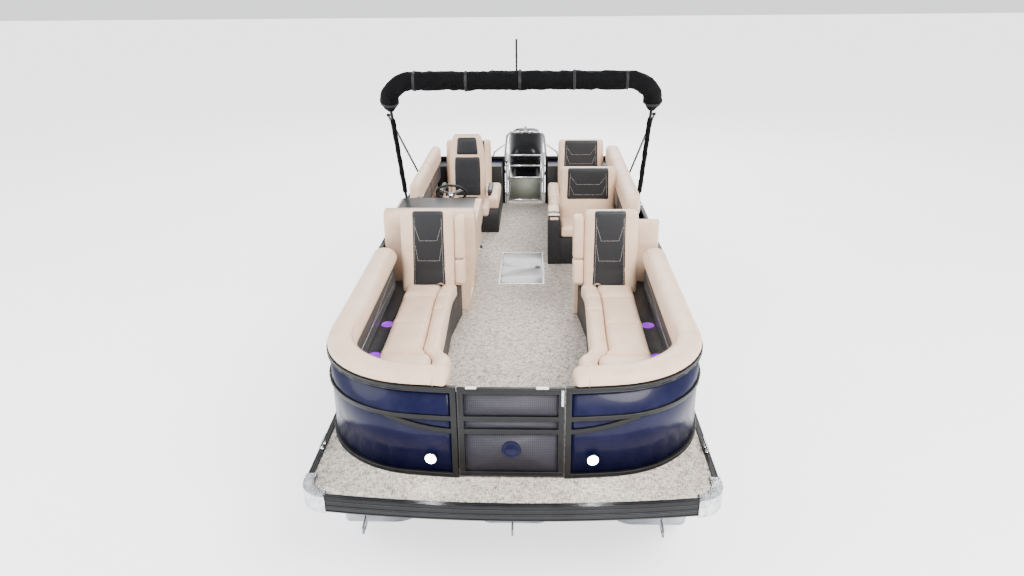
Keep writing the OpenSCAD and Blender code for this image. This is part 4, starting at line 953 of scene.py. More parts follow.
class BOAT_OT_bow_bolsters(bpy.types.Operator):
    """Makes the rolled bolsters on the bow fence and the dark liners below them"""
    bl_idname = "boat.bow_bolsters"
    bl_label = "Bow bolsters"

    def execute(self, context):
        for s, side in sides():
            roll = along_fence(Shape(), s, fence_line(418, 2352, 28), bolster_outline(), 26)
            made = piece(side + "_bow_roll", roll, TAN, angle=60,
                         stands_for=(side + "_bow_bolster",))
            puff(made, held_roll, 3.0, 0.005)
            trim = Shape()
            line = fence_line(424, 2346, 40, 172)
            trim.rod(mirrored([at(x, y, 697) for x, y, _ in line], s), 1.8, 6)
            for x, y, n in (fence_line(470, 2352, 28)[0], fence_line(418, 2300, 28)[-1]):
                ring = [mirrored([at(x + n[0] * d, y + n[1] * d, z)], s)[0] for d, z in bolster_outline()]
                middle = sum(ring, Vector()) / len(ring)
                trim.rod([p + (p - middle) * 0.006 for p in ring], 2.2, 6, closed=True)
            piece(side + "_bow_roll_seams", trim, "polyester_thread_tan")
            inner = [(131, 332), (131, 450), (131, 568), (150, 569), (165, 566), (171, 540), (176, 450),
                     (171, 360), (165, 336), (150, 331)]
            lining = along_fence(Shape(), s, fence_line(440, 2350, 34), inner, 12)
            made = piece(side + "_bow_lining", lining, DARK, angle=50,
                         stands_for=(side + "_bow_liner",))
            sewn = Shape()
            runs = []
            for height, dip in ((520, -70), (405, 50)):
                line = fence_line(900, 2280, 60, 175)
                waves = [height + dip * math.sin(i / len(line) * 3.0) ** 2 for i in range(len(line))]
                points = mirrored([at(x, y, z) for (x, y, _), z in zip(line, waves)], s)
                runs.append([p for p in points if p.y > BOW_Y + 0.9])
            for points in runs:
                stitches(sewn, points, made, (-s, 0, 0))
            piece(side + "_bow_lining_stitches", sewn, "polyester_thread_grey")
        return {"FINISHED"}


class BOAT_OT_bow_seats(bpy.types.Operator):
    """Makes the bow lounges' bases, cushions and lids"""
    bl_idname = "boat.bow_seats"
    bl_label = "Bow seats"

    def execute(self, context):
        for s, side in sides():
            dress(side + "_bow_base", "roto_moulded_charcoal", 3.0)
            fixed = Shape()
            pad(fixed, seat_strip(s, 352, corner_near, outer_edge), 650, 30)
            pad(fixed, seat_strip(s, 345, inner_edge, corner_far), 345, 26)
            pad(fixed, seat_strip(s, 696, inner_edge, strip_far), 306, 22)
            pad(fixed, seat_strip(s, 2051, wide_near, shelf_edge), 245, 20)
            pad(fixed, seat_strip(s, 2051, inner_edge, strip_far), 245, 20)
            made = piece(side + "_bow_cushions", fixed, TAN, angle=60,
                         stands_for=("bow_cushions",) if s > 0 else ())
            puff(made, held_below(0.335), 4.0, 0.006)
            lid = Shape()
            for y0, y1 in ((1011, 1527), (1531, 2044)):
                pad(lid, seat_strip(s, y0, wide_near, shelf_edge), y1 - y0, 22)
            for y0, y1 in ((1011, 1790), (1794, 2044)):
                pad(lid, seat_strip(s, y0, inner_edge, strip_far), y1 - y0, 22)
            middle = [at(s * (AISLE + 240), 1020, 312), at(s * (AISLE + 240), 2030, 312)]
            board = Shape()
            board.slab((min(s * 0.60, s * 0.94), middle[0].y, DECK_Z + 0.2925),
                       (max(s * 0.60, s * 0.94), middle[1].y, DECK_Z + 0.325), 3)
            made = piece(side + "_lid_cushions", lid, TAN, body=side + "_lid", angle=60,
                         stands_for=(side + "_seat_lid",))
            puff(made, held_below(0.335), 4.0, 0.006)
            piece(side + "_lid_board", board, "moulded_abs_black", body=side + "_lid")
        return {"FINISHED"}


def leaning_run(x, width, foot, head, low, top, thick_low, thick_top, taper=0.0):
    """A run for pad() up a leaning back: x is its middle, foot and head its front's y at low and top."""
    slope = Vector((0, (head - foot) * MM, (top - low) * MM)).normalized()
    normal = Vector((0, -slope.z, slope.y))

    def run(t):
        k = t / (top - low)
        thick = thick_low + (thick_top - thick_low) * k
        z = low + t * slope.z
        y = foot + (head - foot) * k
        a = width / 2 * (1 - taper * max(0.0, k - 0.72) ** 2 / 0.08)
        return at(x, y, z) - normal * thick / 2 * MM, Vector((1, 0, 0)), normal, a, thick / 2
    return run, slope, normal


def hexagon_lines(at_face, wide, low, top):
    """The sewn lines of a dark inset: two shallow keystones, one above the other."""
    h = top - low
    lines = []
    for z0, z1, w0, w1 in ((0.10, 0.42, 0.74, 0.92), (0.50, 0.78, 0.60, 0.90)):
        lines.append([at_face(-wide * w1, low + h * z1), at_face(-wide * w0, low + h * z0),
                      at_face(wide * w0, low + h * z0), at_face(wide * w1, low + h * z1)])
    return lines


def seat_back(name, x, width, foot, head, low, top, thick_low, thick_top, inset_share, shift=0.0,
              body="boat", stands_for=(), taper=0.0, crown=1.4, inset_from=20):
    """A leaning back: tan wings, a raised dark inset over its top, and stitches."""
    length = math.hypot(top - low, head - foot)
    run, slope, normal = leaning_run(x, width, foot, head, low, top, thick_low, thick_top, taper)
    body_pad = pad(Shape(), run, length, 34, 30, 34, 10, 2, crown)
    made = piece(name, body_pad, TAN, body=body, angle=60, stands_for=stands_for)
    inset_w = width * inset_share
    foot_point = run(0)[0]

    def sewn_down(co):
        rise = (co - foot_point).dot(slope)
        under_inset = abs(co.x - (x + shift) * MM) < inset_w / 2 * MM and rise > inset_from * MM
        return 1.0 if rise < 0.05 or under_inset else 0.0
    puff(made, sewn_down, 4.0, 0.007)

    def inset_run(t):
        origin, u, v, _, b = run(t + inset_from)
        k = (t + inset_from) / length
        return (origin + u * shift * MM + v * (b - 10) * MM, u, v,
                inset_w / 2 * (1 - 0.08 * k - taper * max(0.0, k - 0.72) ** 2 / 0.08), 26.0)

    def channels(t, _, q):
        if q < 0.6:
            return 0.0
        return -3.5 * math.exp(-((t - 0.30) / 0.010) ** 2) - 3.0 * math.exp(-((t - 0.62) / 0.010) ** 2)

    inset = pad(Shape(), inset_run, length - inset_from - 6, 22, 24, 18, 8, 1, 0.7, channels)
    panel = piece(name + "_inset", inset, DARK, body=body, angle=60)
    sewn = Shape()

    def on_face(dx, z):
        k = (z - low) / (top - low)
        return at(x + dx + shift, foot + (head - foot) * k, z)
    sewn_from = max(low + (top - low) * 0.36, low + inset_from + 30)
    for line in hexagon_lines(on_face, inset_w / 2 * 0.86, sewn_from, top - 40):
        for a, b in zip(line, line[1:]):
            stitches(sewn, [a, b], panel, normal)
    for a in (-1, 1):
        seam = [on_face(a * inset_w * 0.43, low + inset_from + 40), on_face(a * inset_w * 0.40, top - 60)]
        stitches(sewn, seam, panel, normal)
    piece(name + "_stitches", sewn, "polyester_thread_grey", body=body)
    return made


class BOAT_OT_bow_backs(bpy.types.Operator):
    """Makes the bow lounges' backs with their arm pads"""
    bl_idname = "boat.bow_backs"
    bl_label = "Bow backs"

    def execute(self, context):
        for s, side in sides():
            seat_back(side + "_bow_back", s * 794.5, 455, 2304, 2412, 294, 1036, 146, 104, 0.64, -s * 14,
                      stands_for=("bow_backrests",) if s > 0 else ())
            arm = Shape()
            for z0, z1 in ((384, 600), (606, 976)):
                def run(t, z0=z0):
                    z = z0 + t
                    k = (z - 380) / 600
                    middle = at(s * 514, 2330 + 92 * k + 57, z)
                    return middle, Vector((1, 0, 0)), Vector((0, -1, 0)), 46, 57
                pad(arm, run, z1 - z0, 24, 28, 24, 4, 2, 0.7)
            made = piece(side + "_arm_pads", arm, TAN, angle=60)
            strap = Shape()
            path = curve_through([at(s * 700, 2285, 404), at(s * 690, 2262, 424), at(s * 664, 2244, 428),
                                  at(s * 652, 2258, 412), at(s * 650, 2285, 404)], 0.006)
            strap.sweep(path, section(11, 1.6, 1.2, 2, 1, 1))
            piece(side + "_pull_strap", strap, "nylon_webbing_tan")
        dress("lounge_end", "thermoformed_abs_tan", 14.0)
        return {"FINISHED"}


WHEEL = (-730.0, 3830.0, 800.0)
CHAIR = (-620.0, 4380.0)


class BOAT_OT_console(bpy.types.Operator):
    """Finishes the console and makes its dials, the wheel and the throttle's grip"""
    bl_idname = "boat.console"
    bl_label = "Console"

    def execute(self, context):
        dress("console", "thermoformed_abs_tan", 9.0, 24)
        dress("dash", "moulded_abs_black", 3.0)
        dress("throttle", "polished_stainless", 2.0)
        face = Vector((0, 1, 1)).normalized()
        dials, glass = Shape(), Shape()
        hub = at(*WHEEL) - face * 0.150
        uphill = Vector((0, -1, 1)).normalized()
        for x, rise, r in ((-176, 84, 40), (-68, 96, 30), (68, 96, 30), (176, 84, 40), (-206, -20, 22),
                           (206, -20, 22)):
            centre = hub + Vector((x * MM, 0, 0)) + uphill * rise * MM
            dials.lathe(centre, face, [(r + 4, -2), (r + 4, 3), (r, 5.5), (r - 3, 3)], 32)
            glass.lathe(centre, face, [(r - 2.5, 0), (r - 2.5, 3), (r * 0.5, 3.8), (0.5, 4)], 32)
        piece("dial_bezels", dials, "polished_stainless")
        piece("dial_glasses", glass, "tinted_gauge_glass")
        axis = face
        centre = at(*WHEEL)
        across = Vector((1, 0, 0))
        up = axis.cross(across)

        def on_wheel(r, turn, lift=0.0):
            return centre + (across * math.cos(turn) + up * math.sin(turn)) * r * MM + axis * lift * MM
        rim, bright = Shape(), Shape()
        count = 72
        path = [on_wheel(152, 2 * math.pi * i / count) for i in range(count)]
        rim.rod(path, 12.4, 12, closed=True, up=axis)
        for k in range(3):
            turn = math.pi / 2 + 2 * math.pi * k / 3
            spoke = [on_wheel(r, turn, h) for r, h in ((28, -14), (60, -11), (100, -6), (146, 0))]
            bright.sweep(curve_through(spoke, 0.012), section(17, 3.2, 3, 2, 1, 2), axis)
        bright.lathe(centre - axis * 0.026, axis,
                     [(38, 0), (42, 6), (40, 14), (30, 19), (12, 21), (0.5, 21.5)], 32)
        bright.lathe(centre - axis * 0.085, axis, [(24, 0), (24, 40), (32, 58)], 24)
        whole = piece("wheel_rim", rim, "stitched_rubber_black", body="wheel",
                      stands_for=("steering_wheel",))
        piece("wheel_spokes", bright, "polished_stainless", body="wheel")
        seams = Shape()
        seam = [on_wheel(144.0, 2 * math.pi * i / 24) for i in range(25)]
        stitches(seams, seam, whole, axis, gauge=1.2)
        piece("wheel_stitches", seams, "polyester_thread_grey", body="wheel")
        grip = Shape()
        low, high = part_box("throttle")
        top = Vector(((low.x + high.x) / 2, (low.y + high.y) / 2, high.z - 0.006))
        grip.lathe(top - Vector((0, 0, 0.04)), (0, 0, 1),
                   [(9, 0), (15, 6), (17, 22), (15, 36), (9, 43), (0.5, 44)], 24)
        piece("throttle_grip", grip, "stitched_rubber_black")
        return {"FINISHED"}


def slab_run(x0, x1, y0, z0, z1):
    """A run for pad() along Y through a box between x0 and x1 and z0 and z1."""
    def run(t):
        return (at((x0 + x1) / 2, y0 + t, (z0 + z1) / 2), Vector((1, 0, 0)), Vector((0, 0, 1)),
                abs(x1 - x0) / 2, (z1 - z0) / 2)
    return run


def held_chair(height, inset_half):
    """Holds the chair's pads below a height, and where their dark insets are sewn down."""
    return lambda co: 1.0 if co.z < DECK_Z + height or abs(co.x - CHAIR[0] * MM) < inset_half else 0.0


def sewn_across(first, second):
    """Sewn channels across a pad's face, 4 mm deep, at two shares of its length."""
    def form(t, _, q):
        dips = [math.exp(-((t - share) / 0.02) ** 2) for share in (first, second)]
        return -4 * dips[0] - 4 * dips[1] if q > 0.6 else 0.0
    return form


class BOAT_OT_helm_chair(bpy.types.Operator):
    """Makes the helm chair's cushion, back, arms and post"""
    bl_idname = "boat.helm_chair"
    bl_label = "Helm chair"

    def execute(self, context):
        dress("helm_pedestal", "polished_stainless", 2.0)
        cx, cy = CHAIR
        seat = Shape()
        pad(seat, slab_run(cx - 168, cx + 168, cy - 238, 436, 546), 392, 40, 26, 34, 8, 2, 1.5)
        for s in (1, -1):
            pad(seat, slab_run(cx + s * 172, cx + s * 247, cy - 205, 434, 548), 355, 34, 26, 30, 4, 2, 0.9)
        made = piece("helm_seat", seat, TAN, body="chair", angle=60,
                     stands_for=("helm_cushion",))
        puff(made, held_chair(0.47, 0.112), 4.0, 0.007)
        inset = Shape()
        pad(inset, slab_run(cx - 112, cx + 112, cy - 234, 526, 568), 382, 30, 26, 14, 8, 1, 0.7,
            sewn_across(0.33, 0.66))
        made = piece("helm_seat_inset", inset, DARK, body="chair", angle=60)
        front = [(436, 160), (560, 166), (900, 196), (1190, 213), (1250, 228)]

        def back_run(z_shift, half, depth_share, push=0.0):
            def run(t):
                z = 440 + z_shift + t
                y = front[0][1]
                for (z0, y0), (z1, y1) in zip(front, front[1:]):
                    if z0 <= z <= z1:
                        y = y0 + (y1 - y0) * (z - z0) / (z1 - z0)
                thick = 108 - 42 * max(0, (z - 560) / 690) ** 1.3
                wide = half * (1 - 0.22 * max(0.0, (z - 860) / 380) ** 1.6)
                mid = y + thick * (0.5 if depth_share > 0.9 else depth_share) - push
                return (at(cx, cy + mid, z), Vector((1, 0, 0)), Vector((0, -1, 0)), wide,
                        thick / 2 if depth_share > 0.9 else thick * depth_share)
            return run
        back = pad(Shape(), back_run(0, 208, 1.0), 806, 46, 34, 40, 10, 2, 1.2)
        made = piece("helm_back", back, TAN, body="chair", angle=60,
                     stands_for=("helm_backrest",))
        puff(made, held_chair(0.50, 0.14), 4.0, 0.006)
        panel = Shape()
        pad(panel, back_run(130, 142, 0.22, 19), 440, 24, 24, 14, 8, 1, 0.6,
            sewn_across(0.35, 0.7))
        pad(panel, back_run(588, 128, 0.22, 17), 190, 22, 24, 14, 8, 1, 0.9)
        made = piece("helm_back_inset", panel, DARK, body="chair", angle=60)
        arms = Shape()
        for s in (1, -1):
            pad(arms, slab_run(cx + s * 234, cx + s * 291, cy - 158, 672, 719), 352, 24, 26, 20, 4, 1, 0.7)
        made = piece("helm_arm_pads", arms, DARK, body="chair", angle=60)
        frames = Shape()
        for s in (1, -1):
            frames.slab(at(cx + s * 240 - 18, cy + 165, 565), at(cx + s * 240 + 18, cy + 228, 672), 8)
            frames.slab(at(cx + s * 262 - 12, cy - 120, 655), at(cx + s * 262 + 12, cy + 180, 674), 5)
        piece("helm_arm_frames", frames, "moulded_abs_black", body="chair")
        return {"FINISHED"}


class BOAT_OT_aft_seats(bpy.types.Operator):
    """Makes the aft lounge's bases, cushions, backs and side bolsters"""
    bl_idname = "boat.aft_seats"
    bl_label = "Aft seats"

    def execute(self, context):
        dress("port_aft_base", "roto_moulded_charcoal", 4.0)
        dress("starboard_aft_base", "roto_moulded_charcoal", 4.0)
        seats = Shape()
        pad(seats, slab_run(410, 988, 3888, 291, 399), 394, 30)
        for y0, y1 in ((4437, 5060), (5064, 5718)):
            pad(seats, slab_run(436, 988, y0, 291, 419), y1 - y0, 28)
            pad(seats, slab_run(302, 430, y0, 291, 417), y1 - y0, 28, 26, 26, 4, 2, 0.9)
        pad(seats, slab_run(-988, -436, 4952, 291, 419), 764, 28)
        pad(seats, slab_run(-430, -302, 4952, 291, 417), 764, 28, 26, 26, 4, 2, 0.9)
        made = piece("aft_seat_cushions", seats, TAN, angle=60, stands_for=("aft_cushions",))
        puff(made, held_below(0.335), 4.0, 0.006)
        seat_back("port_mid_back", 710, 596, 4288, 4314, 294, 946, 138, 100, 0.8,
                  stands_for=("aft_backrests",), inset_from=300)
        seat_back("port_stern_back", 710, 556, 5724, 5780, 294, 946, 158, 112, 0.8, inset_from=300)
        seat_back("starboard_stern_back", -710, 556, 5724, 5780, 294, 946, 158, 112, 0.8, inset_from=300)
        rolls, linings = Shape(), Shape()
        for s, y0, y1, inner in ((1, 3504, 5836, 1026), (-1, 3924, 5836, 1068)):
            count = 3 if s > 0 else 2
            step = (y1 - y0) / count
            for i in range(count):
                start = y0 + i * step
                pad(rolls, slab_run(s * inner, s * 1185, start + 2, 640, 868), step - 4, 44, 34, 48,
                    4, 3, 0.9)
                pad(linings, slab_run(s * (inner + 14), s * 1185, start + 2, 442, 636), step - 4, 30, 34, 24,
                    4, 2, 0.6)
        made = piece("aft_rolls", rolls, TAN, angle=60, stands_for=("aft_bolsters",))
        puff(made, lambda co: 1.0 if abs(co.x) > 1.16 else 0.0, 3.0, 0.004)
        made = piece("aft_linings", linings, DARK, angle=60)
        arm = Shape()
        pad(arm, slab_run(273, 402, 3869, 474, 542), 94, 26, 24, 12, 3, 1, 0.5)
        pad(arm, slab_run(273, 402, 4010, 474, 542), 277, 26, 24, 20, 3, 1, 0.6)
        made = piece("port_arm_pad", arm, TAN, angle=60)
        walls = Shape()
        walls.slab(at(1128, 3512, 3), at(1165, 5828, 438), 8)
        walls.slab(at(-1165, 3932, 3), at(-1128, 5828, 438), 8)
        piece("aft_wall_panels", walls, "thermoformed_abs_tan")
        return {"FINISHED"}


class BOAT_OT_hatch(bpy.types.Operator):
    """Finishes the floor hatch and adds its latch"""
    bl_idname = "boat.hatch"
    bl_label = "Hatch"

    def execute(self, context):
        dress("hatch_frame", "gelcoat_white", 1.5)
        dress("hatch_lid", "gelcoat_grey", 2.0)
        low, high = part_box("hatch_lid")
        latch = Shape()
        x, y = high.x - 0.045, (low.y + high.y) / 2
        latch.lathe(Vector((x, y, high.z - 0.001)), (0, 0, 1),
                    [(27, 0), (27, 1.6), (24, 2.6), (21, 1.8), (0.5, 1.6)], 32)
        latch.slab((x - 0.018, y - 0.006, high.z), (x + 0.018, y + 0.006, high.z + 0.0034), 1.5)
        piece("hatch_latch", latch, "moulded_abs_black", body="hatch")
        return {"FINISHED"}


COVER_LEAN = math.radians(28.7)


def on_canopy(x, w, v=0.0):
    """A point of the folded canopy: x across, w along its leaning bows, v square to them."""
    lean = Vector((0, -math.sin(COVER_LEAN), math.cos(COVER_LEAN)))
    square = Vector((0, math.cos(COVER_LEAN), math.sin(COVER_LEAN)))
    return at(x, 3935, 670) + (lean * w + square * v) * MM


class BOAT_OT_canopy(bpy.types.Operator):
    """Finishes the canopy's bows and makes the wrinkled cover around its folded cloth"""
    bl_idname = "boat.canopy"
    bl_label = "Canopy"

    def execute(self, context):
        for node in ("bimini_bow", "bimini_braces"):
            dress(node, "anodised_aluminium_black")
        dress("bimini_mounts", "polished_stainless", 1.0)
        low_w, top_w, half, corner = 1206, 1533, 1212, 240
        path = [(half, low_w + i * 12) for i in range(int((top_w - corner - low_w) / 12))]
        path += [(half - corner + corner * math.cos(t), top_w - corner + corner * math.sin(t))
                 for t in (math.pi / 2 * i / 22 for i in range(23))]
        count = 120
        path += [(half - corner - 2 * (half - corner) * i / count, top_w) for i in range(1, count)]
        full = path + [(-x, w) for x, w in reversed(path[:len(path) - count + 1])]
        depth = looks().cover_fold
        rings, sides = [], 28
        for i, (x, w) in enumerate(full):
            before, after = full[max(i - 1, 0)], full[min(i + 1, len(full) - 1)]
            dx, dw = after[0] - before[0], after[1] - before[1]
            size = math.hypot(dx, dw)
            nx, nw = -dw / size, dx / size
            share = i / (len(full) - 1)
            taper = min(1.0, 0.42 + 14 * min(share, 1 - share) + 0.02 * math.sin(i * 0.7))
            ring = []
            for k in range(sides):
                t = 2 * math.pi * k / sides
                spot = Vector((x * 0.0045, w * 0.0045, k * 0.0))
                swirl = Vector((math.cos(t) * 0.9 + share * 31, math.sin(t) * 0.9, share * 17))
                fold = noise.noise(swirl * 1.3) * 0.55 + abs(noise.noise(swirl * 3.1 + spot)) * 0.75 - 0.45
                sag = 0.12 * max(0.0, math.cos(t - math.pi))
                r = (88 * taper + (depth / MM) * 1.7 * fold * taper) * (1 + sag * 0.3)
                r = min(r, 104)
                ring.append(on_canopy(x - nx * r * math.cos(t), w - nw * r * math.cos(t), r * math.sin(t)))
            rings.append(ring)
        cover = Shape().skin(rings, caps="fan")
        made = piece("canopy_cover", cover, "woven_acrylic_canvas", body="canopy", subdivide=1,
                     angle=80, stands_for=("bimini_boot",))
        straps = Shape()
        for share in (0.045, 0.17, 0.33, 0.5, 0.67, 0.83, 0.955):
            i = round(share * (len(rings) - 1))
            ring = rings[i]
            middle = sum(ring, Vector()) / len(ring)
            after, before = rings[min(i + 1, len(rings) - 1)], rings[i - 1]
            heading = (sum(after, Vector()) - sum(before, Vector())).normalized()
            for off in (-9, -3, 3, 9):
                loop = [p + (p - middle).normalized() * 0.0015 + heading * off * MM for p in ring]
                straps.rod(loop, 3.6, 6, closed=True, up=heading)
        piece("canopy_cover_straps", straps, "stitched_rubber_black", body="canopy")
        sleeves = Shape()
        for s in (1, -1):
            rings = []
            for i in range(46):
                w = 150 + i * 21.2
                fold = noise.noise(Vector((s * 7, w * 0.013, 0)))
                ring = []
                for t in (2 * math.pi * k / 16 for k in range(16)):
                    r = 24 + 5 * fold + 2 * math.sin(3 * t + w / 40)
                    ring.append(on_canopy(s * half + r * math.cos(t), w, (30 + 5 * fold) * math.sin(t)))
                rings.append(ring)
            sleeves.skin(rings, caps="fan")
        made = piece("canopy_sleeves", sleeves, "woven_acrylic_canvas", body="canopy",
                     subdivide=1, angle=80)
        return {"FINISHED"}


class BOAT_OT_stern(bpy.types.Operator):
    """Finishes the tow arch, the ladder and the motor's pod"""
    bl_idname = "boat.stern"
    bl_label = "Stern"

    def execute(self, context):
        dress("stern_rails", "polished_stainless")
        dress("ladder", "polished_stainless")
        dress("motor_pod", "extruded_aluminium", 3.0)
        return {"FINISHED"}


TILT = math.radians(36)
TILT_Y, TILT_Z = 7230, -40
SCREW_R = 0.184


def on_motor(x, y, z):
    """A point of the tilted motor: y aft and z up before it was tilted."""
    return at(x, TILT_Y + y * math.cos(TILT) - z * math.sin(TILT),
              TILT_Z + y * math.sin(TILT) + z * math.cos(TILT))


class BOAT_OT_motor(bpy.types.Operator):
    """Makes the motor's cowl and propeller and finishes its castings"""
    bl_idname = "boat.motor"
    bl_label = "Motor"

    def execute(self, context):
        dress("swivel_bracket", "cast_aluminium_black", 3.0)
        dress("motor_leg", "cast_aluminium_black", 4.0)
        stations = [(101, 190, -58, 566, 92), (106, 200, -68, 576, 98), (124, 208, -74, 584, 100),
                    (190, 222, -79, 594, 104), (206, 224, -79, 596, 104), (212, 218, -74, 590, 102),
                    (218, 226, -80, 597, 104), (330, 240, -80, 599, 110), (420, 248, -78, 600, 112),
                    (500, 247, -70, 598, 112), (560, 238, -52, 588, 110), (580, 230, -44, 582, 108),
                    (600, 226, -34, 574, 106), (660, 196, 14, 540, 96), (700, 164, 62, 506, 84),
                    (724, 128, 104, 470, 70), (736, 92, 150, 430, 54), (739, 50, 200, 380, 34)]
        rings = []
        for z, a, y0, y1, r in stations:
            outline = section(a, (y1 - y0) / 2, r, 6, 5, 6)
            rings.append([on_motor(x * (1 - 0.10 * max(0.0, -y / (y1 - y0)) ** 2), (y0 + y1) / 2 + y, z)
                          for x, y in outline])
        cowl = Shape().skin(rings)
        made = piece("motor_cowl", cowl, "lacquered_cowl_black", body="motor", subdivide=2,
                     angle=180, stands_for=("cowl",))
        trim = Shape()
        for s in (1, -1):
            for i in range(5):
                y = 400 + i * 26
                line = []
                for k in range(9):
                    z = 470 + k * 11
                    hit, place = made.ray_cast(on_motor(s * 400, y + k * 4, z), Vector((-s, 0, 0)))[:2]
                    if hit:
                        line.append(place)
                if len(line) > 3:
                    trim.rod(line, 4, 8, up=Vector((1, 0, 0)))
        piece("cowl_vent_bars", trim, "moulded_abs_black", body="motor")
        screw = Shape()
        centre, axis = on_motor(0, 492, -885), (on_motor(0, 1, 0) - on_motor(0, 0, 0)).normalized()
        screw.lathe(centre, axis,
                    [(30, 1), (50, 2), (52, 8), (50, 50), (46, 96), (43, 108), (36, 110), (34, 90)], 40)
        across = Vector((1, 0, 0))
        up = axis.cross(across)
        for k in range(3):
            turn = math.radians(120 * k + 30)
            radial = across * math.cos(turn) + up * math.sin(turn)
            tangent = axis.cross(radial)
            blade = []
            for j in range(11):
                q = j / 10
                r = 42 + 141 * q
                chord = 46 + 16 * q / 0.47
                if q > 0.47:
                    chord = 62 * math.sqrt(max(0.02, 1 - (1.9 * q - 0.9) ** 2))
                pitch = math.radians(58 - 30 * q)
                thick = 9 * (1 - q) + 2.2
                skew = 16 * q * q
                along = tangent * math.cos(pitch) + axis * math.sin(pitch)
                normal = radial.cross(along)
                ring = []
                for c, h in ((-1, 0), (-0.6, 0.75), (0, 1), (0.6, 0.75), (1, 0), (0.6, -0.75), (0, -1),
                             (-0.6, -0.75)):
                    point = centre + axis * 0.055 + radial * r * MM + along * (c * chord + skew) * MM
                    point += normal * h * thick / 2 * MM
                    foot = centre + axis * (point - centre).dot(axis)
                    arm = point - foot
                    ring.append(point if arm.length < SCREW_R else foot + arm.normalized() * SCREW_R)
                blade.append(ring)
            screw.skin(blade, caps="fan")
        piece("motor_screw", screw, "polished_stainless", body="screw", subdivide=1, angle=50,
              stands_for=("propeller",))
        return {"FINISHED"}


# ---------- floor, light and camera ----------

def floor_concrete():
    """Pale sealed floor, troweled: nearly even, with slow clouds of tone."""
    tree, gloss, place = new_finish("troweled_floor_pale", IOR=1.45, Specular_IOR_Level=0.1,
                                   Emission_Color=(1.0, 1.0, 1.0, 1.0), Emission_Strength=1.5)
    clouds = grain(tree, place, 1800, 3.0)
    pale = spread(tree, clouds, 0.3, 0.7, [opaque("#F0F0F1"), opaque("#F5F5F6")])
    tree.links.new(pale, gloss.inputs["Base Color"])
    tree.links.new(level(tree, clouds, 0.6, 0.75), gloss.inputs["Roughness"])


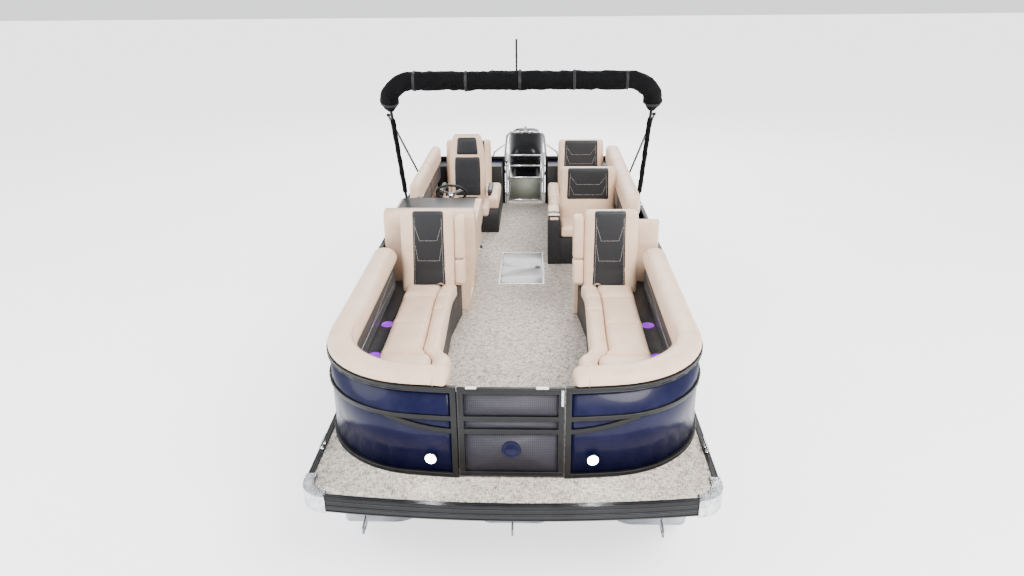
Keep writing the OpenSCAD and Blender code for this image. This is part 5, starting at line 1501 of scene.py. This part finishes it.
class BOAT_OT_stage(bpy.types.Operator):
    """Makes the floor, the soft lights and the camera"""
    bl_idname = "boat.stage"
    bl_label = "Stage"

    def execute(self, context):
        scene = bpy.context.scene
        floor_concrete()
        reach, z = 60.0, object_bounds()[0][2]
        mesh = bpy.data.meshes.new("floor")
        corners = [(-reach, -reach, z), (reach, -reach, z), (reach, reach, z), (-reach, reach, z)]
        mesh.from_pydata(corners, [], [(0, 1, 2, 3)])
        mesh.materials.append(finish("troweled_floor_pale"))
        floor = bpy.data.objects.new("floor", mesh)
        scene.collection.objects.link(floor)
        floor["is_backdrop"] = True
        world = bpy.data.worlds.new("soft room")
        world.use_nodes = True
        sky = world.node_tree.nodes["Background"]
        sky.inputs["Color"].default_value = (0.97, 0.98, 1.0, 1.0)
        sky.inputs["Strength"].default_value = 1.5
        scene.world = world
        for name, place, aim, size, watts, tint in (
                ("key", (5.5, -8.0, 9.0), (0, 0, 0.8), 6.0, 2100, (1.0, 0.97, 0.93)),
                ("fill", (-8.0, -5.0, 6.5), (0, 0, 0.8), 7.0, 760, (0.93, 0.96, 1.0)),
                ("back", (1.0, 9.5, 7.5), (0, 0, 0.8), 7.0, 900, (1.0, 1.0, 1.0))):
            lamp = bpy.data.lights.new(name, "AREA")
            lamp.shape, lamp.size, lamp.energy, lamp.color = "DISK", size, watts, tint
            source = bpy.data.objects.new(name, lamp)
            source.location = place
            source.rotation_euler = (Vector(aim) - Vector(place)).to_track_quat("-Z", "Y").to_euler()
            scene.collection.objects.link(source)
        for s in (1, -1):
            beam = bpy.data.lights.new("docking beam", "SPOT")
            beam.energy, beam.spot_size = 9.0, math.radians(120)
            beam.spot_blend, beam.shadow_soft_size = 0.9, 0.03
            source = bpy.data.objects.new("docking beam", beam)
            source.location = at(s * 506, 40, 207)
            source.rotation_euler = Vector((0, -1, -0.55)).to_track_quat("-Z", "Y").to_euler()
            scene.collection.objects.link(source)
        eye = bpy.data.cameras.new("eye")
        eye.sensor_width, eye.lens, eye.clip_end = 36.0, 27.35, 300.0
        view = bpy.data.objects.new("eye", eye)
        yaw, pitch, roll = (math.radians(a) for a in (1.92, 22.38, 0.58))
        ahead = Vector((-math.sin(yaw) * math.cos(pitch), math.cos(yaw) * math.cos(pitch), -math.sin(pitch)))
        right = Vector((math.cos(yaw), math.sin(yaw), 0))
        down = ahead.cross(right)
        across = right * math.cos(roll) + down * math.sin(roll)
        below = down * math.cos(roll) - right * math.sin(roll)
        view.matrix_world = Matrix.Translation((0.15, -7.57, 3.75)) @ Matrix(
            (across, -below, -ahead)).transposed().to_4x4()
        scene.collection.objects.link(view)
        scene.camera = view
        return {"FINISHED"}


# ---------- the sidebar and the run ----------

class BOAT_PT_pieces(bpy.types.Panel):
    """Lists the boat's looks and the operators that make its pieces"""
    bl_idname = "BOAT_PT_pieces"
    bl_label = "Pontoon boat"
    bl_space_type = "VIEW_3D"
    bl_region_type = "UI"
    bl_category = "Boat"

    def draw(self, context):
        for name in BoatLooks.__annotations__:
            self.layout.prop(context.scene.boat_looks, name)
        for step in STEPS:
            self.layout.operator(step.bl_idname)


STEPS = (BOAT_OT_finishes, BOAT_OT_stage, BOAT_OT_hull, BOAT_OT_deck, BOAT_OT_fence, BOAT_OT_lamps,
         BOAT_OT_gates,
         BOAT_OT_bow_bolsters, BOAT_OT_bow_seats, BOAT_OT_bow_backs, BOAT_OT_console, BOAT_OT_helm_chair,
         BOAT_OT_aft_seats, BOAT_OT_hatch, BOAT_OT_canopy, BOAT_OT_stern, BOAT_OT_motor)
CLASSES = (BoatLooks,) + STEPS + (BOAT_PT_pieces,)


def register():
    for made in CLASSES:
        bpy.utils.register_class(made)
    bpy.types.Scene.boat_looks = PointerProperty(type=BoatLooks)


def unregister():
    del bpy.types.Scene.boat_looks
    for made in reversed(CLASSES):
        bpy.utils.unregister_class(made)


def main():
    register()
    for step in STEPS:
        group, name = step.bl_idname.split(".")
        if getattr(getattr(bpy.ops, group), name)() != {"FINISHED"}:
            raise RuntimeError(f"{step.bl_label} didn't finish")


if __name__ == "__main__":
    main()
